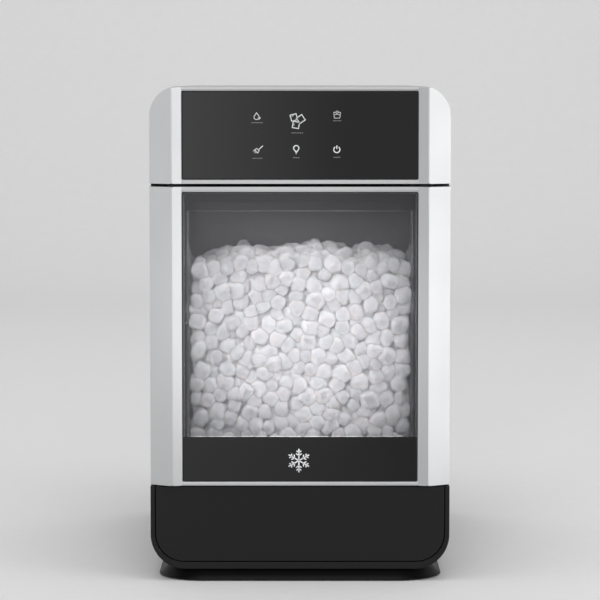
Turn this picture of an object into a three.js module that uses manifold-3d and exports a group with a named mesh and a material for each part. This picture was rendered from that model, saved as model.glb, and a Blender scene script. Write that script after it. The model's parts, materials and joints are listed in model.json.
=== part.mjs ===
// Countertop nugget ice maker with a window drawer, a touch head, a fill lid and its working parts.
// Millimetres, +Z up, front towards -Y. The origin is on the worktop, under the middle of the machine.
import * as THREE from "three";
import { ConvexGeometry } from "three/addons/geometries/ConvexGeometry.js";
import { mergeVertices } from "three/addons/utils/BufferGeometryUtils.js";
import Module from "manifold-3d";

const wasm = await Module();
wasm.setup();

// ---------------------------------------------------------------- driving dimensions

const HALF_WIDTH = 133; // outside of the cabinet
const HEIGHT = 440;
const RIDGE_Y = -210; // foremost edge of the silver front mouldings
const REAR_Y = 210; // ends of the wall spacers
const TOP_RADIUS = 26.5; // upper corners, seen from the front
const BOTTOM_RADIUS = 31; // lower corners, seen from the front
const GAP = 0.3; // between two pieces that rest on each other

// Front mouldings: a ridge, a long outer slope and a short inner slope round each black panel.
const RIDGE_X = 113.2;
const PANEL_X = 104.5;
const SHOULDER_Y = -199; // where the outer slope meets the flat side
const PANEL_Y = -206; // where the inner slope meets the panel's seat
const MOULDING_BACK = -176.2;
const PANEL_THICK = 3;
const SEAT_Y = PANEL_Y + PANEL_THICK + 0.6;
const EDGE_SLOPE_Y = RIDGE_Y + 0.8; // small slope at both ends of the side strips
const APEX_Y = RIDGE_Y - 0.28; // where both slopes would meet, but for a narrow flat along the ridge
const BAR_SLOPE = { height: 1.3, depth: 0.5 }; // small slope of the bars, next to a panel

// Heights of the front, from the worktop up.
const TUB_Z = 11;
const FASCIA_Z = 17.9;
const TUB_TOP = 85.4;
const DRAWER_Z = 86.3;
const BAND_Z = 89.5;
const WINDOW_Z = 130;
const WINDOW_TOP = 347.1;
const DRAWER_TOP = 351.5;
const DRAWER_RIDGE = [87.1, 350.7]; // lower and upper ridge of the drawer's moulding
const HEAD_Z = 354.2;
const GLASS_Z = 357.6;
const GLASS_TOP = 436;
const HEAD_RIDGE = [355.0, 438.6]; // lower and upper ridge of the head's moulding

// Cabinet shells.
const WRAP_THICK = 1.8;
const WRAP_Z = 86;
const WRAP_FRONT = -175.5;
const SHELL_BACK = 197;
const TUB_WALL = 3;
const TUB_FRONT = -204;
const REAR_PANEL = [193.5, 196];

// Plinth.
const PLINTH_Z = 1.2;
const PLINTH_FOOT = { halfX: 127.4, y: [-205, 185], radius: 40 };
const PLINTH_HEAD = { halfX: 118.5, y: [-196, 176], radius: 34 };

// Drawer compartment.
const LINER_X = 121;
const LINER_WALL = 3.5;
const LINER_Y = [-174.4, -10];
const LINER_Z = [87, 349];
const BIN_X = 101.8;
const BIN_WALL = 2.4;
const BIN_Y = [-197, -21];
const BIN_Z = [94.8, 330];
const ICE_SIDE_Z = 281;
const ICE_TOP_Z = 300;

// Auger unit: the gearbox, the evaporator and the extruder share one upright axis.
const AUGER = { x: -48, y: 62 };
const GEAR_MODULE = 1.75;
const GEAR_TEETH = 32;
const PINION_TEETH = 12;
const PINION_Y = AUGER.y + (GEAR_MODULE * (GEAR_TEETH + PINION_TEETH)) / 2;
const GEAR_Z = [35, 47];
const EVAPORATOR_Z = [127, 286];
const EVAPORATOR_BORE = 25.6;
const SHAFT_RADIUS = 9;

// Cooling side.
const COMPRESSOR = { x: 66, y: 88, radius: 56, shoulder: 130, top: 170 };
const FAN = { x: 60, z: 260, y: [140, 164], half: 60, bore: 56 };
const CONDENSER = { x: [-4, 124], y: [166, 186], z: [185, 340] };

// Fill lid and its basin.
const LID = { halfX: 59.6, y: [110.6, 178.8], pivotY: 176.5, pivotZ: 435.8 };
const BASIN = { halfX: 62, y: [100, 186], z: [404, 437.8], wall: 2 };

// Rear services.
const DRAIN = { x: -90, z: 36 };
const CORD = { x: 92, z: 36 };

// ---------------------------------------------------------------- materials

const paint = (color, roughness, metalness = 0, extra = {}) =>
  new THREE.MeshStandardMaterial({ color, roughness, metalness, ...extra });

const SILVER = paint(0xcfd0d2, 0.35, 0.75);
const BLACK_GLASS = paint(0x2c2c2d, 0.08);
const SMOKED = paint(0x3c3d40, 0.05, 0, { transparent: true, opacity: 0.35 });
const BLACK_SHELL = paint(0x262626, 0.5);
const DARK_BASE = paint(0x0f0f0f, 0.55);
const LINER_BLACK = paint(0x2d2e30, 0.45);
const CLEAR = paint(0xe8ecf0, 0.08, 0, { transparent: true, opacity: 0.3 });
const ICE = paint(0xeeeef2, 0.25);
const RUBBER = paint(0x1a1a1a, 0.9);
const FOAM = paint(0xe9e6dc, 0.95);
const STEEL = paint(0xb4b7ba, 0.3, 0.95);
const ZINC = paint(0x9ea2a6, 0.4, 0.9);
const COPPER = paint(0xb66a3c, 0.3, 0.95);
const ENAMEL = paint(0x141416, 0.35, 0.3);
const BOARD = paint(0x1f5a35, 0.5);
const LAMP = paint(0xf4f7fb, 0.3);
const NYLON = paint(0xe6e3da, 0.55);
const GREY_PLASTIC = paint(0x6f7275, 0.55);

// ---------------------------------------------------------------- solids

/** A closed geometry as a solid that can be joined and cut. */
function toSolid(geometry) {
  const bare = geometry.clone();
  for (const name of Object.keys(bare.attributes)) {
    if (name !== "position") bare.deleteAttribute(name);
  }
  const merged = mergeVertices(bare, 1e-4);
  return new wasm.Manifold(
    new wasm.Mesh({
      numProp: 3,
      vertProperties: merged.attributes.position.array,
      triVerts: new Uint32Array(merged.index.array),
    }),
  );
}

/** A solid as a geometry. */
function toGeometry(solid) {
  const mesh = solid.getMesh();
  const points = new Float32Array(mesh.numVert * 3);
  for (let i = 0; i < mesh.numVert; i++) {
    const start = i * mesh.numProp;
    points.set(mesh.vertProperties.subarray(start, start + 3), i * 3);
  }
  const geometry = new THREE.BufferGeometry();
  geometry.setAttribute("position", new THREE.BufferAttribute(points, 3));
  geometry.setIndex(new THREE.BufferAttribute(mesh.triVerts, 1));
  geometry.computeVertexNormals();
  return geometry;
}

const join = (first, ...rest) =>
  toGeometry(rest.reduce((sum, g) => sum.add(toSolid(g)), toSolid(first)));

const cut = (first, ...tools) =>
  toGeometry(tools.reduce((left, g) => left.subtract(toSolid(g)), toSolid(first)));

/** A box between two values on each axis. */
function block([x0, x1], [y0, y1], [z0, z1]) {
  const box = new THREE.BoxGeometry(x1 - x0, y1 - y0, z1 - z0);
  return box.translate((x0 + x1) / 2, (y0 + y1) / 2, (z0 + z1) / 2);
}

const extrude = (shape, depth) =>
  new THREE.ExtrudeGeometry(shape, { depth, bevelEnabled: false, curveSegments: 12 });

/** A shape drawn in X and Z, extruded along Y. */
const frontPrism = (shape, [y0, y1]) =>
  extrude(shape, y1 - y0).rotateX(Math.PI / 2).translate(0, y1, 0);

/** A shape drawn in Y and Z, extruded along X. */
const sidePrism = (shape, [x0, x1]) =>
  extrude(shape, x1 - x0).rotateX(Math.PI / 2).rotateZ(Math.PI / 2).translate(x0, 0, 0);

/** A shape drawn in X and Y, extruded along Z. */
const planPrism = (shape, [z0, z1]) => extrude(shape, z1 - z0).translate(0, 0, z0);

const polygon = (points) => new THREE.Shape(points.map(([a, b]) => new THREE.Vector2(a, b)));

/** A rectangle with one radius for its lower corners and one for its upper corners. */
function roundedRect([x0, x1], [y0, y1], lower, upper = lower, steps = 4) {
  const corners = [
    [x1 - lower, y0 + lower, lower, -Math.PI / 2],
    [x1 - upper, y1 - upper, upper, 0],
    [x0 + upper, y1 - upper, upper, Math.PI / 2],
    [x0 + lower, y0 + lower, lower, Math.PI],
  ];
  const points = corners.flatMap(([cx, cy, radius, start]) => {
    const count = radius > 0 ? steps : 0;
    return Array.from({ length: count + 1 }, (_, i) => {
      const angle = start + (i * Math.PI) / 2 / steps;
      return [cx + radius * Math.cos(angle), cy + radius * Math.sin(angle)];
    });
  });
  return polygon(points);
}

/** A cylinder along Z, Y or X from one value to another. */
function rod(axis, [a, b], radius, [u, v], sides = 16) {
  const bar = new THREE.CylinderGeometry(radius, radius, b - a, sides);
  const middle = (a + b) / 2;
  if (axis === "z") return bar.rotateX(Math.PI / 2).translate(u, v, middle);
  if (axis === "y") return bar.translate(u, middle, v);
  return bar.rotateZ(Math.PI / 2).translate(middle, u, v);
}

/** A profile of [radius, height] pairs turned about an upright axis. */
function turned(profile, [x, y], sides = 24) {
  const points = profile.map(([r, z]) => new THREE.Vector2(r, z));
  return new THREE.LatheGeometry(points, sides).rotateX(Math.PI / 2).translate(x, y, 0);
}

/** A tube wall turned about an upright axis. */
function ring(inner, outer, [z0, z1], centre, sides = 24) {
  const profile = [
    [inner, z0],
    [outer, z0],
    [outer, z1],
    [inner, z1],
    [inner, z0],
  ];
  return turned(profile, centre, sides);
}

/** A solid round hose or pipe through a list of points. */
function pipe(points, radius, steps, sides = 8) {
  const section = new THREE.Shape();
  section.absarc(0, 0, radius, 0, Math.PI * 2);
  const path = new THREE.CatmullRomCurve3(
    points.map((p) => new THREE.Vector3(...p)),
    false,
    "centripetal",
  );
  return new THREE.ExtrudeGeometry(section, {
    steps,
    extrudePath: path,
    bevelEnabled: false,
    curveSegments: sides / 2,
  });
}

/** The same geometry on the other side of the machine. */
const mirrored = (make) => [1, -1].map((side) => make(side));
const span = (side, a, b) => (side > 0 ? [a, b] : [-b, -a]);

// ---------------------------------------------------------------- scene graph

const machine = new THREE.Group();

function group(parent = machine) {
  const made = new THREE.Group();
  parent.add(made);
  return made;
}

function add(parent, name, geometry, material) {
  const mesh = new THREE.Mesh(geometry, material);
  mesh.name = name;
  parent.add(mesh);
  return mesh;
}

const SIDES = { left: -1, right: 1 };

// ---------------------------------------------------------------- plinth and feet

const FOOT_PLACES = [
  ["foot_front_left", -98, -165],
  ["foot_front_right", 98, -165],
  ["foot_rear_left", -98, 145],
  ["foot_rear_right", 98, 145],
];

/** A rounded outline as points, the same number for every size, so that two can be joined by walls. */
function plinthOutline({ halfX, y: [y0, y1], radius }, z) {
  const outline = roundedRect([-halfX, halfX], [y0, y1], radius).getPoints();
  return outline.map((p) => new THREE.Vector3(p.x, p.y, z));
}

function plinth() {
  const flare = new ConvexGeometry([
    ...plinthOutline(PLINTH_FOOT, PLINTH_Z),
    ...plinthOutline(PLINTH_HEAD, TUB_Z - GAP),
  ]);
  const sockets = FOOT_PLACES.map(([, x, y]) => rod("z", [0, 4.3], 9.4, [x, y], 20));
  return cut(flare, ...sockets);
}

const cabinet = group();
add(cabinet, "plinth", plinth(), DARK_BASE);
for (const [name, x, y] of FOOT_PLACES) {
  add(cabinet, name, rod("z", [0, 4], 9, [x, y], 20), RUBBER);
}

// ---------------------------------------------------------------- lower tub and its fascia

const VENT_PITCH = 9;
const VENT_COUNT = 11;
const VENT_START_Y = 52;
const VENT_WIDTH = 3.5;

/** The black lower body: a U seen from the front, with a rim round the fascia and air slots at the back. */
function lowerTub() {
  const outer = roundedRect([-HALF_WIDTH, HALF_WIDTH], [TUB_Z, TUB_TOP], BOTTOM_RADIUS, 0);
  const inside = HALF_WIDTH - TUB_WALL;
  const hollow = roundedRect(
    [-inside, inside],
    [TUB_Z + TUB_WALL, TUB_TOP + 1],
    BOTTOM_RADIUS - TUB_WALL,
    0,
  );
  const rimX = HALF_WIDTH - 3.9;
  const seat = roundedRect([-rimX, rimX], [FASCIA_Z - 0.7, TUB_TOP + 1], BOTTOM_RADIUS - 5, 0);
  const slots = Array.from({ length: VENT_COUNT }, (_, i) => {
    const y = VENT_START_Y + i * VENT_PITCH;
    return block([-HALF_WIDTH - 1, HALF_WIDTH + 1], [y, y + VENT_WIDTH], [40, 72]);
  });
  return cut(
    frontPrism(outer, [TUB_FRONT, SHELL_BACK]),
    frontPrism(hollow, [TUB_FRONT + 6, SHELL_BACK + 1]),
    frontPrism(seat, [TUB_FRONT - 1, TUB_FRONT + 7]),
    ...slots,
  );
}

function baseFascia() {
  const x = HALF_WIDTH - 4.6;
  const face = roundedRect([-x, x], [FASCIA_Z, TUB_TOP - 0.2], BOTTOM_RADIUS - 5.7, 0);
  return frontPrism(face, [TUB_FRONT, TUB_FRONT + 4]);
}

add(cabinet, "lower_tub", lowerTub(), BLACK_SHELL);
add(cabinet, "base_fascia", baseFascia(), BLACK_SHELL);

// ---------------------------------------------------------------- upper wrap and rear panel

const LID_OPENING = { halfX: 60.4, y: [109.8, 182] };

function upperWrap() {
  const outer = roundedRect([-HALF_WIDTH, HALF_WIDTH], [WRAP_Z, HEIGHT], 0, TOP_RADIUS);
  const x = HALF_WIDTH - WRAP_THICK;
  const inner = roundedRect(
    [-x, x],
    [WRAP_Z - 1, HEIGHT - WRAP_THICK],
    0,
    TOP_RADIUS - WRAP_THICK,
  );
  return cut(
    frontPrism(outer, [WRAP_FRONT, SHELL_BACK]),
    frontPrism(inner, [WRAP_FRONT - 1, SHELL_BACK + 1]),
    block([-LID_OPENING.halfX, LID_OPENING.halfX], LID_OPENING.y, [430, 450]),
    rod("z", [430, 450], 11, [0, LID_OPENING.y[0]], 20),
  );
}

/** Rows of slots in front of the condenser, and one hole each for the drain and the cord. */
function rearPanel() {
  const x = HALF_WIDTH - TUB_WALL - 0.5;
  const sheet = roundedRect([-x, x], [TUB_Z + TUB_WALL + 0.4, HEIGHT - 2.4], 28.5, 25.5);
  const slots = [];
  for (let row = 0; row < 14; row++) {
    const z = 196 + row * 9;
    for (const x0 of [2, 63]) slots.push(block([x0, x0 + 54], [190, 200], [z, z + VENT_WIDTH]));
  }
  return cut(
    frontPrism(sheet, REAR_PANEL),
    ...slots,
    rod("y", [190, 200], 7.4, [DRAIN.x, DRAIN.z], 20),
    rod("y", [190, 200], 7.4, [CORD.x, CORD.z], 20),
  );
}

add(cabinet, "upper_wrap", upperWrap(), SILVER);
add(cabinet, "rear_panel", rearPanel(), BLACK_SHELL);
for (const [name, side] of Object.entries(SIDES)) {
  const pad = roundedRect([88 * side - 13, 88 * side + 13], [386, 400], 5);
  add(cabinet, `rear_spacer_${name}`, frontPrism(pad, [REAR_PANEL[1] + GAP, REAR_Y]), RUBBER);
}

// ---------------------------------------------------------------- front mouldings

/** Wedges that take off the outer slopes at both sides of a moulding. */
function sideSlopes(z) {
  const rise = (SHOULDER_Y - APEX_Y) / (HALF_WIDTH - RIDGE_X);
  const over = 3;
  const wedge = [
    [RIDGE_X - over, APEX_Y - over * rise],
    [HALF_WIDTH + over, SHOULDER_Y + over * rise],
    [HALF_WIDTH + over, RIDGE_Y - 10],
    [RIDGE_X - over, RIDGE_Y - 10],
  ];
  return mirrored((side) => planPrism(polygon(wedge.map(([x, y]) => [x * side, y])), z));
}

/** A wedge that takes off the small slope along a horizontal edge, from the edge to the ridge. */
function edgeSlope(edgeZ, ridgeZ, edgeY = EDGE_SLOPE_Y) {
  const away = Math.sign(edgeZ - ridgeZ);
  const slope = (edgeY - RIDGE_Y) / (edgeZ - ridgeZ);
  const over = 2 * away;
  const points = [
    [RIDGE_Y - over * slope, ridgeZ - over],
    [edgeY + over * slope, edgeZ + over],
    [RIDGE_Y - 40, edgeZ + over],
    [RIDGE_Y - 40, ridgeZ - over],
  ];
  return sidePrism(polygon(points), [-HALF_WIDTH - 1, HALF_WIDTH + 1]);
}

/** The trough between the ridges: an inner slope at each side, and the level of the bars between. */
function trough(z) {
  const lean = (RIDGE_X - PANEL_X) / (PANEL_Y - APEX_Y);
  const over = 1;
  const mouthX = RIDGE_X + over * lean;
  const points = [
    [-PANEL_X, PANEL_Y],
    [-mouthX, APEX_Y - over],
    [mouthX, APEX_Y - over],
    [PANEL_X, PANEL_Y],
  ];
  return planPrism(polygon(points), z);
}

/** A panel's seat between the bars, with a small slope along each bar. */
function panelRecess([low, high]) {
  const { height, depth } = BAR_SLOPE;
  const points = [
    [PANEL_Y + depth, low],
    [PANEL_Y + depth, high],
    [PANEL_Y - depth, high + 2 * height],
    [PANEL_Y - depth, low - 2 * height],
  ];
  const x = [-PANEL_X, PANEL_X];
  return [sidePrism(polygon(points), x), block(x, [PANEL_Y - 0.1, SEAT_Y], [low, high])];
}

/** The silver moulding round the touch glass, hollow behind. */
function headFrame() {
  const outline = roundedRect([-HALF_WIDTH, HALF_WIDTH], [HEAD_Z, HEIGHT], 0, TOP_RADIUS);
  return cut(
    frontPrism(outline, [RIDGE_Y, MOULDING_BACK]),
    ...sideSlopes([HEAD_Z - 1, HEIGHT + 1]),
    edgeSlope(HEIGHT, HEAD_RIDGE[1], SHOULDER_Y),
    edgeSlope(HEAD_Z, HEAD_RIDGE[0]),
    trough([HEAD_Z - 1, HEIGHT + 1]),
    ...panelRecess([GLASS_Z, GLASS_TOP]),
    block([-98, 98], [SEAT_Y - 1, MOULDING_BACK + 1], [GLASS_Z + 5, GLASS_TOP - 5]),
  );
}

/** Recesses behind the drawer's front at both sides, for the fingertips that pull it. */
const GRIP = { x: [122, HALF_WIDTH + 1], y: [-190, -170], z: [175, 265] };

/** The silver moulding round the window and the lower band. */
function drawerFrame() {
  const outline = roundedRect([-HALF_WIDTH, HALF_WIDTH], [DRAWER_Z, DRAWER_TOP], 0, 0);
  const pillars = mirrored((side) => [
    block(span(side, 106.4, 119), [-196, -170], [95, 345]),
    block(span(side, ...GRIP.x), GRIP.y, GRIP.z),
  ]).flat();
  return cut(
    frontPrism(outline, [RIDGE_Y, MOULDING_BACK]),
    ...sideSlopes([DRAWER_Z - 1, DRAWER_TOP + 1]),
    edgeSlope(DRAWER_TOP, DRAWER_RIDGE[1]),
    edgeSlope(DRAWER_Z, DRAWER_RIDGE[0]),
    trough([DRAWER_Z - 1, DRAWER_TOP + 1]),
    ...panelRecess([BAND_Z, WINDOW_TOP]),
    block([-103.2, 103.2], [SEAT_Y - 1, MOULDING_BACK + 1], [91, WINDOW_TOP - 1.3]),
    ...pillars,
  );
}

const FIT = 0.35; // round a panel in its seat
const panel = (z0, z1) =>
  block(
    [-PANEL_X + FIT, PANEL_X - FIT],
    [PANEL_Y + 0.4, PANEL_Y + 0.4 + PANEL_THICK - 0.1],
    [z0 + FIT, z1 - FIT],
  );

add(cabinet, "head_frame", headFrame(), SILVER);
add(cabinet, "control_glass", panel(GLASS_Z, GLASS_TOP), BLACK_GLASS);
add(
  cabinet,
  "touch_board",
  join(
    block([-88, 88], [-190, -188.4], [368, 424]),
    block([-30, -6], [-188.5, -183], [376, 392]),
    block([20, 34], [-188.5, -184], [400, 414]),
  ),
  BOARD,
);

// ---------------------------------------------------------------- drawer compartment

const CHUTE_X = [AUGER.x - 32, AUGER.x + 32];
const DROP_HOLE = { x: [CHUTE_X[0] + 6, CHUTE_X[1] - 6], y: [-62, -22] };
const LAMP_AT = { halfX: 60, y: [-168, -154], z: [344.9, 347.9] }; // set into the ceiling

/** The compartment's shell, with holes for falling ice, melt water and the lamp. */
function binLiner() {
  const x = LINER_X - LINER_WALL;
  return cut(
    block([-LINER_X, LINER_X], LINER_Y, LINER_Z),
    block(
      [-x, x],
      [LINER_Y[0] - 1, LINER_Y[1] - LINER_WALL],
      [LINER_Z[0] + LINER_WALL, LINER_Z[1] - LINER_WALL],
    ),
    block(DROP_HOLE.x, DROP_HOLE.y, [340, 352]),
    block([-20, 20], [-100, -60], [85, 92]),
    block(
      [-LAMP_AT.halfX - GAP, LAMP_AT.halfX + GAP],
      [LAMP_AT.y[0] - GAP, LAMP_AT.y[1] + GAP],
      [LINER_Z[1] - LINER_WALL - 1, LAMP_AT.z[1] + GAP],
    ),
  );
}

/** Foam at the sides and the back of the liner. */
function linerFoam() {
  return cut(
    block([-130.6, 130.6], [-170, -1], [88, 349]),
    block([-LINER_X - 0.4, LINER_X + 0.4], [-171, LINER_Y[1] + 0.4], [87, 350]),
  );
}

/** Seal round the mouth of the compartment, which the drawer's front closes on. */
function mouthSeal() {
  return cut(
    block([-129, 129], [-175.8, -174.7], [87.5, 350]),
    block([-121.5, 121.5], [-177, -174], [90.8, 344]),
  );
}

/** C-shaped channel on the liner's side wall. */
function rail(side) {
  return cut(
    block(span(side, 112.6, 117.2), [-172, -20], [95, 107]),
    block(span(side, 112, 115.3), [-173, -19], [98, 104]),
  );
}

add(cabinet, "bin_liner", binLiner(), LINER_BLACK);
add(cabinet, "liner_foam", linerFoam(), FOAM);
add(cabinet, "mouth_seal", mouthSeal(), RUBBER);
const lampBar = block([-LAMP_AT.halfX, LAMP_AT.halfX], LAMP_AT.y, LAMP_AT.z);
add(cabinet, "bin_lamp", lampBar, LAMP);
for (const [name, side] of Object.entries(SIDES)) add(cabinet, `rail_${name}`, rail(side), ZINC);

// ---------------------------------------------------------------- drawer

const drawer = group();

/** The carrier that joins the front to the runners and holds the bin. */
function drawerTray() {
  const lips = mirrored((side) => block(span(side, 104.2, 106.7), [-174, -18], [94, 107]));
  return cut(
    join(
      block([-102.8, 102.8], [-202, -173], [91.3, 94.3]),
      block([-106.7, 106.7], [-174, -18], [91.3, 94.3]),
      ...lips,
    ),
    block([-16, 16], [-120, -50], [90, 96]),
  );
}

function iceBin() {
  const inside = BIN_X - BIN_WALL;
  const outer = roundedRect([-BIN_X, BIN_X], BIN_Y, 9);
  const hollow = roundedRect(
    [-inside, inside],
    [BIN_Y[0] + BIN_WALL, BIN_Y[1] - BIN_WALL],
    9 - BIN_WALL,
  );
  const drains = [-40, 0, 40].map((x) => block([x - 3, x + 3], [-120, -50], [90, 99]));
  return cut(
    planPrism(outer, BIN_Z),
    planPrism(hollow, [BIN_Z[0] + BIN_WALL, BIN_Z[1] + 1]),
    ...drains,
  );
}

/** The store of ice as one heap: flat against the walls, domed on top. */
function iceHeap() {
  const x = BIN_X - BIN_WALL - 0.6;
  const dome = new THREE.Shape();
  dome.moveTo(-x, BIN_Z[0] + BIN_WALL + GAP);
  dome.lineTo(x, BIN_Z[0] + BIN_WALL + GAP);
  dome.lineTo(x, ICE_SIDE_Z);
  dome.quadraticCurveTo(0, 2 * ICE_TOP_Z - ICE_SIDE_Z, -x, ICE_SIDE_Z);
  return frontPrism(dome, [BIN_Y[0] + BIN_WALL + 5, BIN_Y[1] - BIN_WALL - 5]);
}

add(drawer, "drawer_frame", drawerFrame(), SILVER);
add(drawer, "window_pane", panel(WINDOW_Z, WINDOW_TOP), SMOKED);
add(drawer, "lower_band", panel(BAND_Z, WINDOW_Z), BLACK_GLASS);
add(drawer, "drawer_tray", drawerTray(), LINER_BLACK);
add(drawer, "ice_bin", iceBin(), CLEAR);
add(drawer, "ice_heap", iceHeap(), ICE);
for (const [name, side] of Object.entries(SIDES)) {
  const bar = block(span(side, 107, 114.7), [-172, -20], [98.6, 103.4]);
  add(drawer, `runner_${name}`, bar, ZINC);
}

// ---------------------------------------------------------------- fill lid, basin and hose

const fillLid = group();
const KNUCKLES = [
  [-50, -36],
  [36, 50],
];

/** The flush lid on two knuckles under its back edge. */
function lidPanel() {
  const { halfX, y, pivotY, pivotZ } = LID;
  const knuckles = KNUCKLES.flatMap((x) => [
    rod("x", x, 2.9, [pivotY, pivotZ], 16),
    block(x, [pivotY - 2, pivotY + 2], [pivotZ, 438.6]),
  ]);
  const bores = KNUCKLES.map(([a, b]) => rod("x", [a - 1, b + 1], 1.4, [pivotY, pivotZ], 16));
  return cut(join(block([-halfX, halfX], y, [438.4, HEIGHT]), ...knuckles), ...bores);
}

/** The water inlet under the lid: an open trough that carries the hinge pin, with a spout below. */
function fillBasin() {
  const { halfX, y, z, wall } = BASIN;
  const spout = rod("z", [396, z[0] + 1], 6, [-46, 145], 16);
  const trough = cut(
    block([-halfX, halfX], y, z),
    block([-halfX + wall, halfX - wall], [y[0] + wall, y[1] - wall], [z[0] + wall, z[1] + 1]),
  );
  return cut(
    join(trough, spout),
    rod("z", [395, z[0] + 4], 4, [-46, 145], 16),
    rod("x", [-halfX - 1, halfX + 1], 1.4, [LID.pivotY, LID.pivotZ], 16),
  );
}

const FILL_ROUTE = [
  [-46, 145, 395.2],
  [-46, 145, 386],
  [-78, 155, 366],
  [-112, 164, 345],
  [-119, 168, 300],
  [-119, 168, 80],
  [-117, 156, 44],
  [-112, 110, 32],
  [-108, 40, 30],
  [-93, 10, 33],
  [-90, -2, 34],
  [-90, -13.4, 34],
];

add(fillLid, "fill_lid", lidPanel(), SILVER);
add(cabinet, "fill_basin", fillBasin(), LINER_BLACK);
const PIN_X = [-61.8, 61.8];
add(cabinet, "lid_hinge_pin", rod("x", PIN_X, 1.25, [LID.pivotY, LID.pivotZ], 16), STEEL);
add(cabinet, "fill_hose", pipe(FILL_ROUTE, 5, 34), CLEAR);

// ---------------------------------------------------------------- water reservoir and level switch

const RESERVOIR = { halfX: 100, y: [-190, -14], z: [18.5, 78], wall: 2.5 };
const FLOAT_AT = [70, -50];

function reservoir() {
  const { halfX, y, z, wall } = RESERVOIR;
  return cut(
    block([-halfX, halfX], y, z),
    block([-halfX + wall, halfX - wall], [y[0] + wall, y[1] - wall], [z[0] + wall, z[1] + 1]),
  );
}

function reservoirCover() {
  const { halfX, y, z } = RESERVOIR;
  return cut(
    block([-halfX, halfX], y, [z[1] + 0.4, z[1] + 3]),
    block([-20, 20], [-100, -60], [z[1] - 1, z[1] + 4]),
  );
}

add(cabinet, "water_reservoir", reservoir(), GREY_PLASTIC);
add(cabinet, "reservoir_cover", reservoirCover(), LINER_BLACK);
const stem = join(rod("z", [21.4, 77], 3, FLOAT_AT, 12), rod("z", [30, 33.6], 6, FLOAT_AT, 12));
add(cabinet, "float_stem", stem, NYLON);
const level = group();
add(level, "float_ring", ring(3.6, 11, [34, 48], FLOAT_AT, 20), NYLON);

// ---------------------------------------------------------------- gearbox, motor and auger

/** An involute spur gear's outline, thinned a little for backlash. */
function gearShape(teeth, phase) {
  const pressure = THREE.MathUtils.degToRad(25);
  const pitch = (GEAR_MODULE * teeth) / 2;
  const base = pitch * Math.cos(pressure);
  const tip = pitch + 0.9 * GEAR_MODULE;
  const root = pitch - 1.2 * GEAR_MODULE;
  const play = 0.22 / pitch; // half of the backlash, as an angle
  const involute = (r) => {
    const a = Math.sqrt(Math.max((r / base) ** 2 - 1, 0));
    return a - Math.atan(a);
  };
  const halfTooth = Math.PI / 2 / teeth - play + involute(pitch);
  const flank = [Math.max(base, root), pitch, tip];
  const points = [];
  for (let i = 0; i < teeth; i++) {
    const middle = phase + (2 * Math.PI * i) / teeth;
    const low = halfTooth - involute(flank[0]);
    const side = flank.map((r) => [r, halfTooth - involute(r)]);
    const rising = [[root, low], ...side].map(([r, a]) => [r, middle - a]);
    const falling = [...side.reverse(), [root, low]].map(([r, a]) => [r, middle + a]);
    points.push(...rising, ...falling);
  }
  return polygon(points.map(([r, a]) => [r * Math.cos(a), r * Math.sin(a)]));
}

const gearBlank = (teeth, phase, [x, y]) =>
  planPrism(gearShape(teeth, phase), GEAR_Z).translate(x, y, 0);

const auger = group();
const rotor = group();
const MESH_ANGLE = Math.PI / 2; // the pinion lies straight behind the gear

/** The helical screw: a section with one lobe, twisted along the shaft. */
function augerScrew() {
  const turns = 3;
  const z0 = EVAPORATOR_Z[0] + 6;
  const length = EVAPORATOR_Z[1] - 4 - z0;
  const section = new THREE.Shape();
  section.absarc(0, 0, SHAFT_RADIUS, 0.55, 2 * Math.PI - 0.55);
  for (const angle of [-0.32, 0, 0.32]) {
    section.lineTo(24.8 * Math.cos(angle), 24.8 * Math.sin(angle));
  }
  section.closePath();
  const screw = new THREE.ExtrudeGeometry(section, {
    depth: length,
    steps: turns * 14,
    bevelEnabled: false,
    curveSegments: 4,
  });
  const at = screw.attributes.position;
  for (let i = 0; i < at.count; i++) {
    const turn = (at.getZ(i) / length) * turns * 2 * Math.PI;
    const [x, y] = [at.getX(i), at.getY(i)];
    at.setX(i, x * Math.cos(turn) - y * Math.sin(turn));
    at.setY(i, x * Math.sin(turn) + y * Math.cos(turn));
  }
  const { x, y } = AUGER;
  return join(
    screw.translate(x, y, z0),
    rod("z", [31.6, 64.5], 5, [x, y], 16),
    rod("z", [64, z0 + 1], SHAFT_RADIUS, [x, y], 20),
    rod("z", [z0 + length - 1, 306], 7.6, [x, y], 20),
  );
}

function gearboxCase() {
  const { x, y } = AUGER;
  const outline = roundedRect([x - 36, x + 36], [26, 120], 12);
  return cut(
    planPrism(outline, [30, 55]),
    rod("z", [33.5, 56], 31.5, [x, y], 32),
    rod("z", [33.5, 56], 14.5, [x, PINION_Y], 24),
    rod("z", [31, 34], 5.4, [x, y], 16),
  );
}

function gearboxCover() {
  const { x, y } = AUGER;
  const outline = roundedRect([x - 36, x + 36], [26, 120], 12);
  return cut(
    planPrism(outline, [55.4, 58.4]),
    rod("z", [54, 60], 5.6, [x, y], 16),
    rod("z", [54, 60], 3.2, [x, PINION_Y], 16),
  );
}

/** Shaft housing with the water inlet, between the gearbox and the evaporator. */
function bearingHousing() {
  const { x, y } = AUGER;
  return cut(
    join(
      rod("z", [66, 126.6], 16, [x, y], 24),
      rod("z", [66, 70], 18.5, [x, y], 24),
      rod("x", [x - 26, x], 4.5, [y, 112], 12),
    ),
    rod("z", [60, 130], SHAFT_RADIUS + 0.4, [x, y], 24),
    rod("x", [x - 27, x], 2.6, [y, 112], 12),
  );
}

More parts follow.
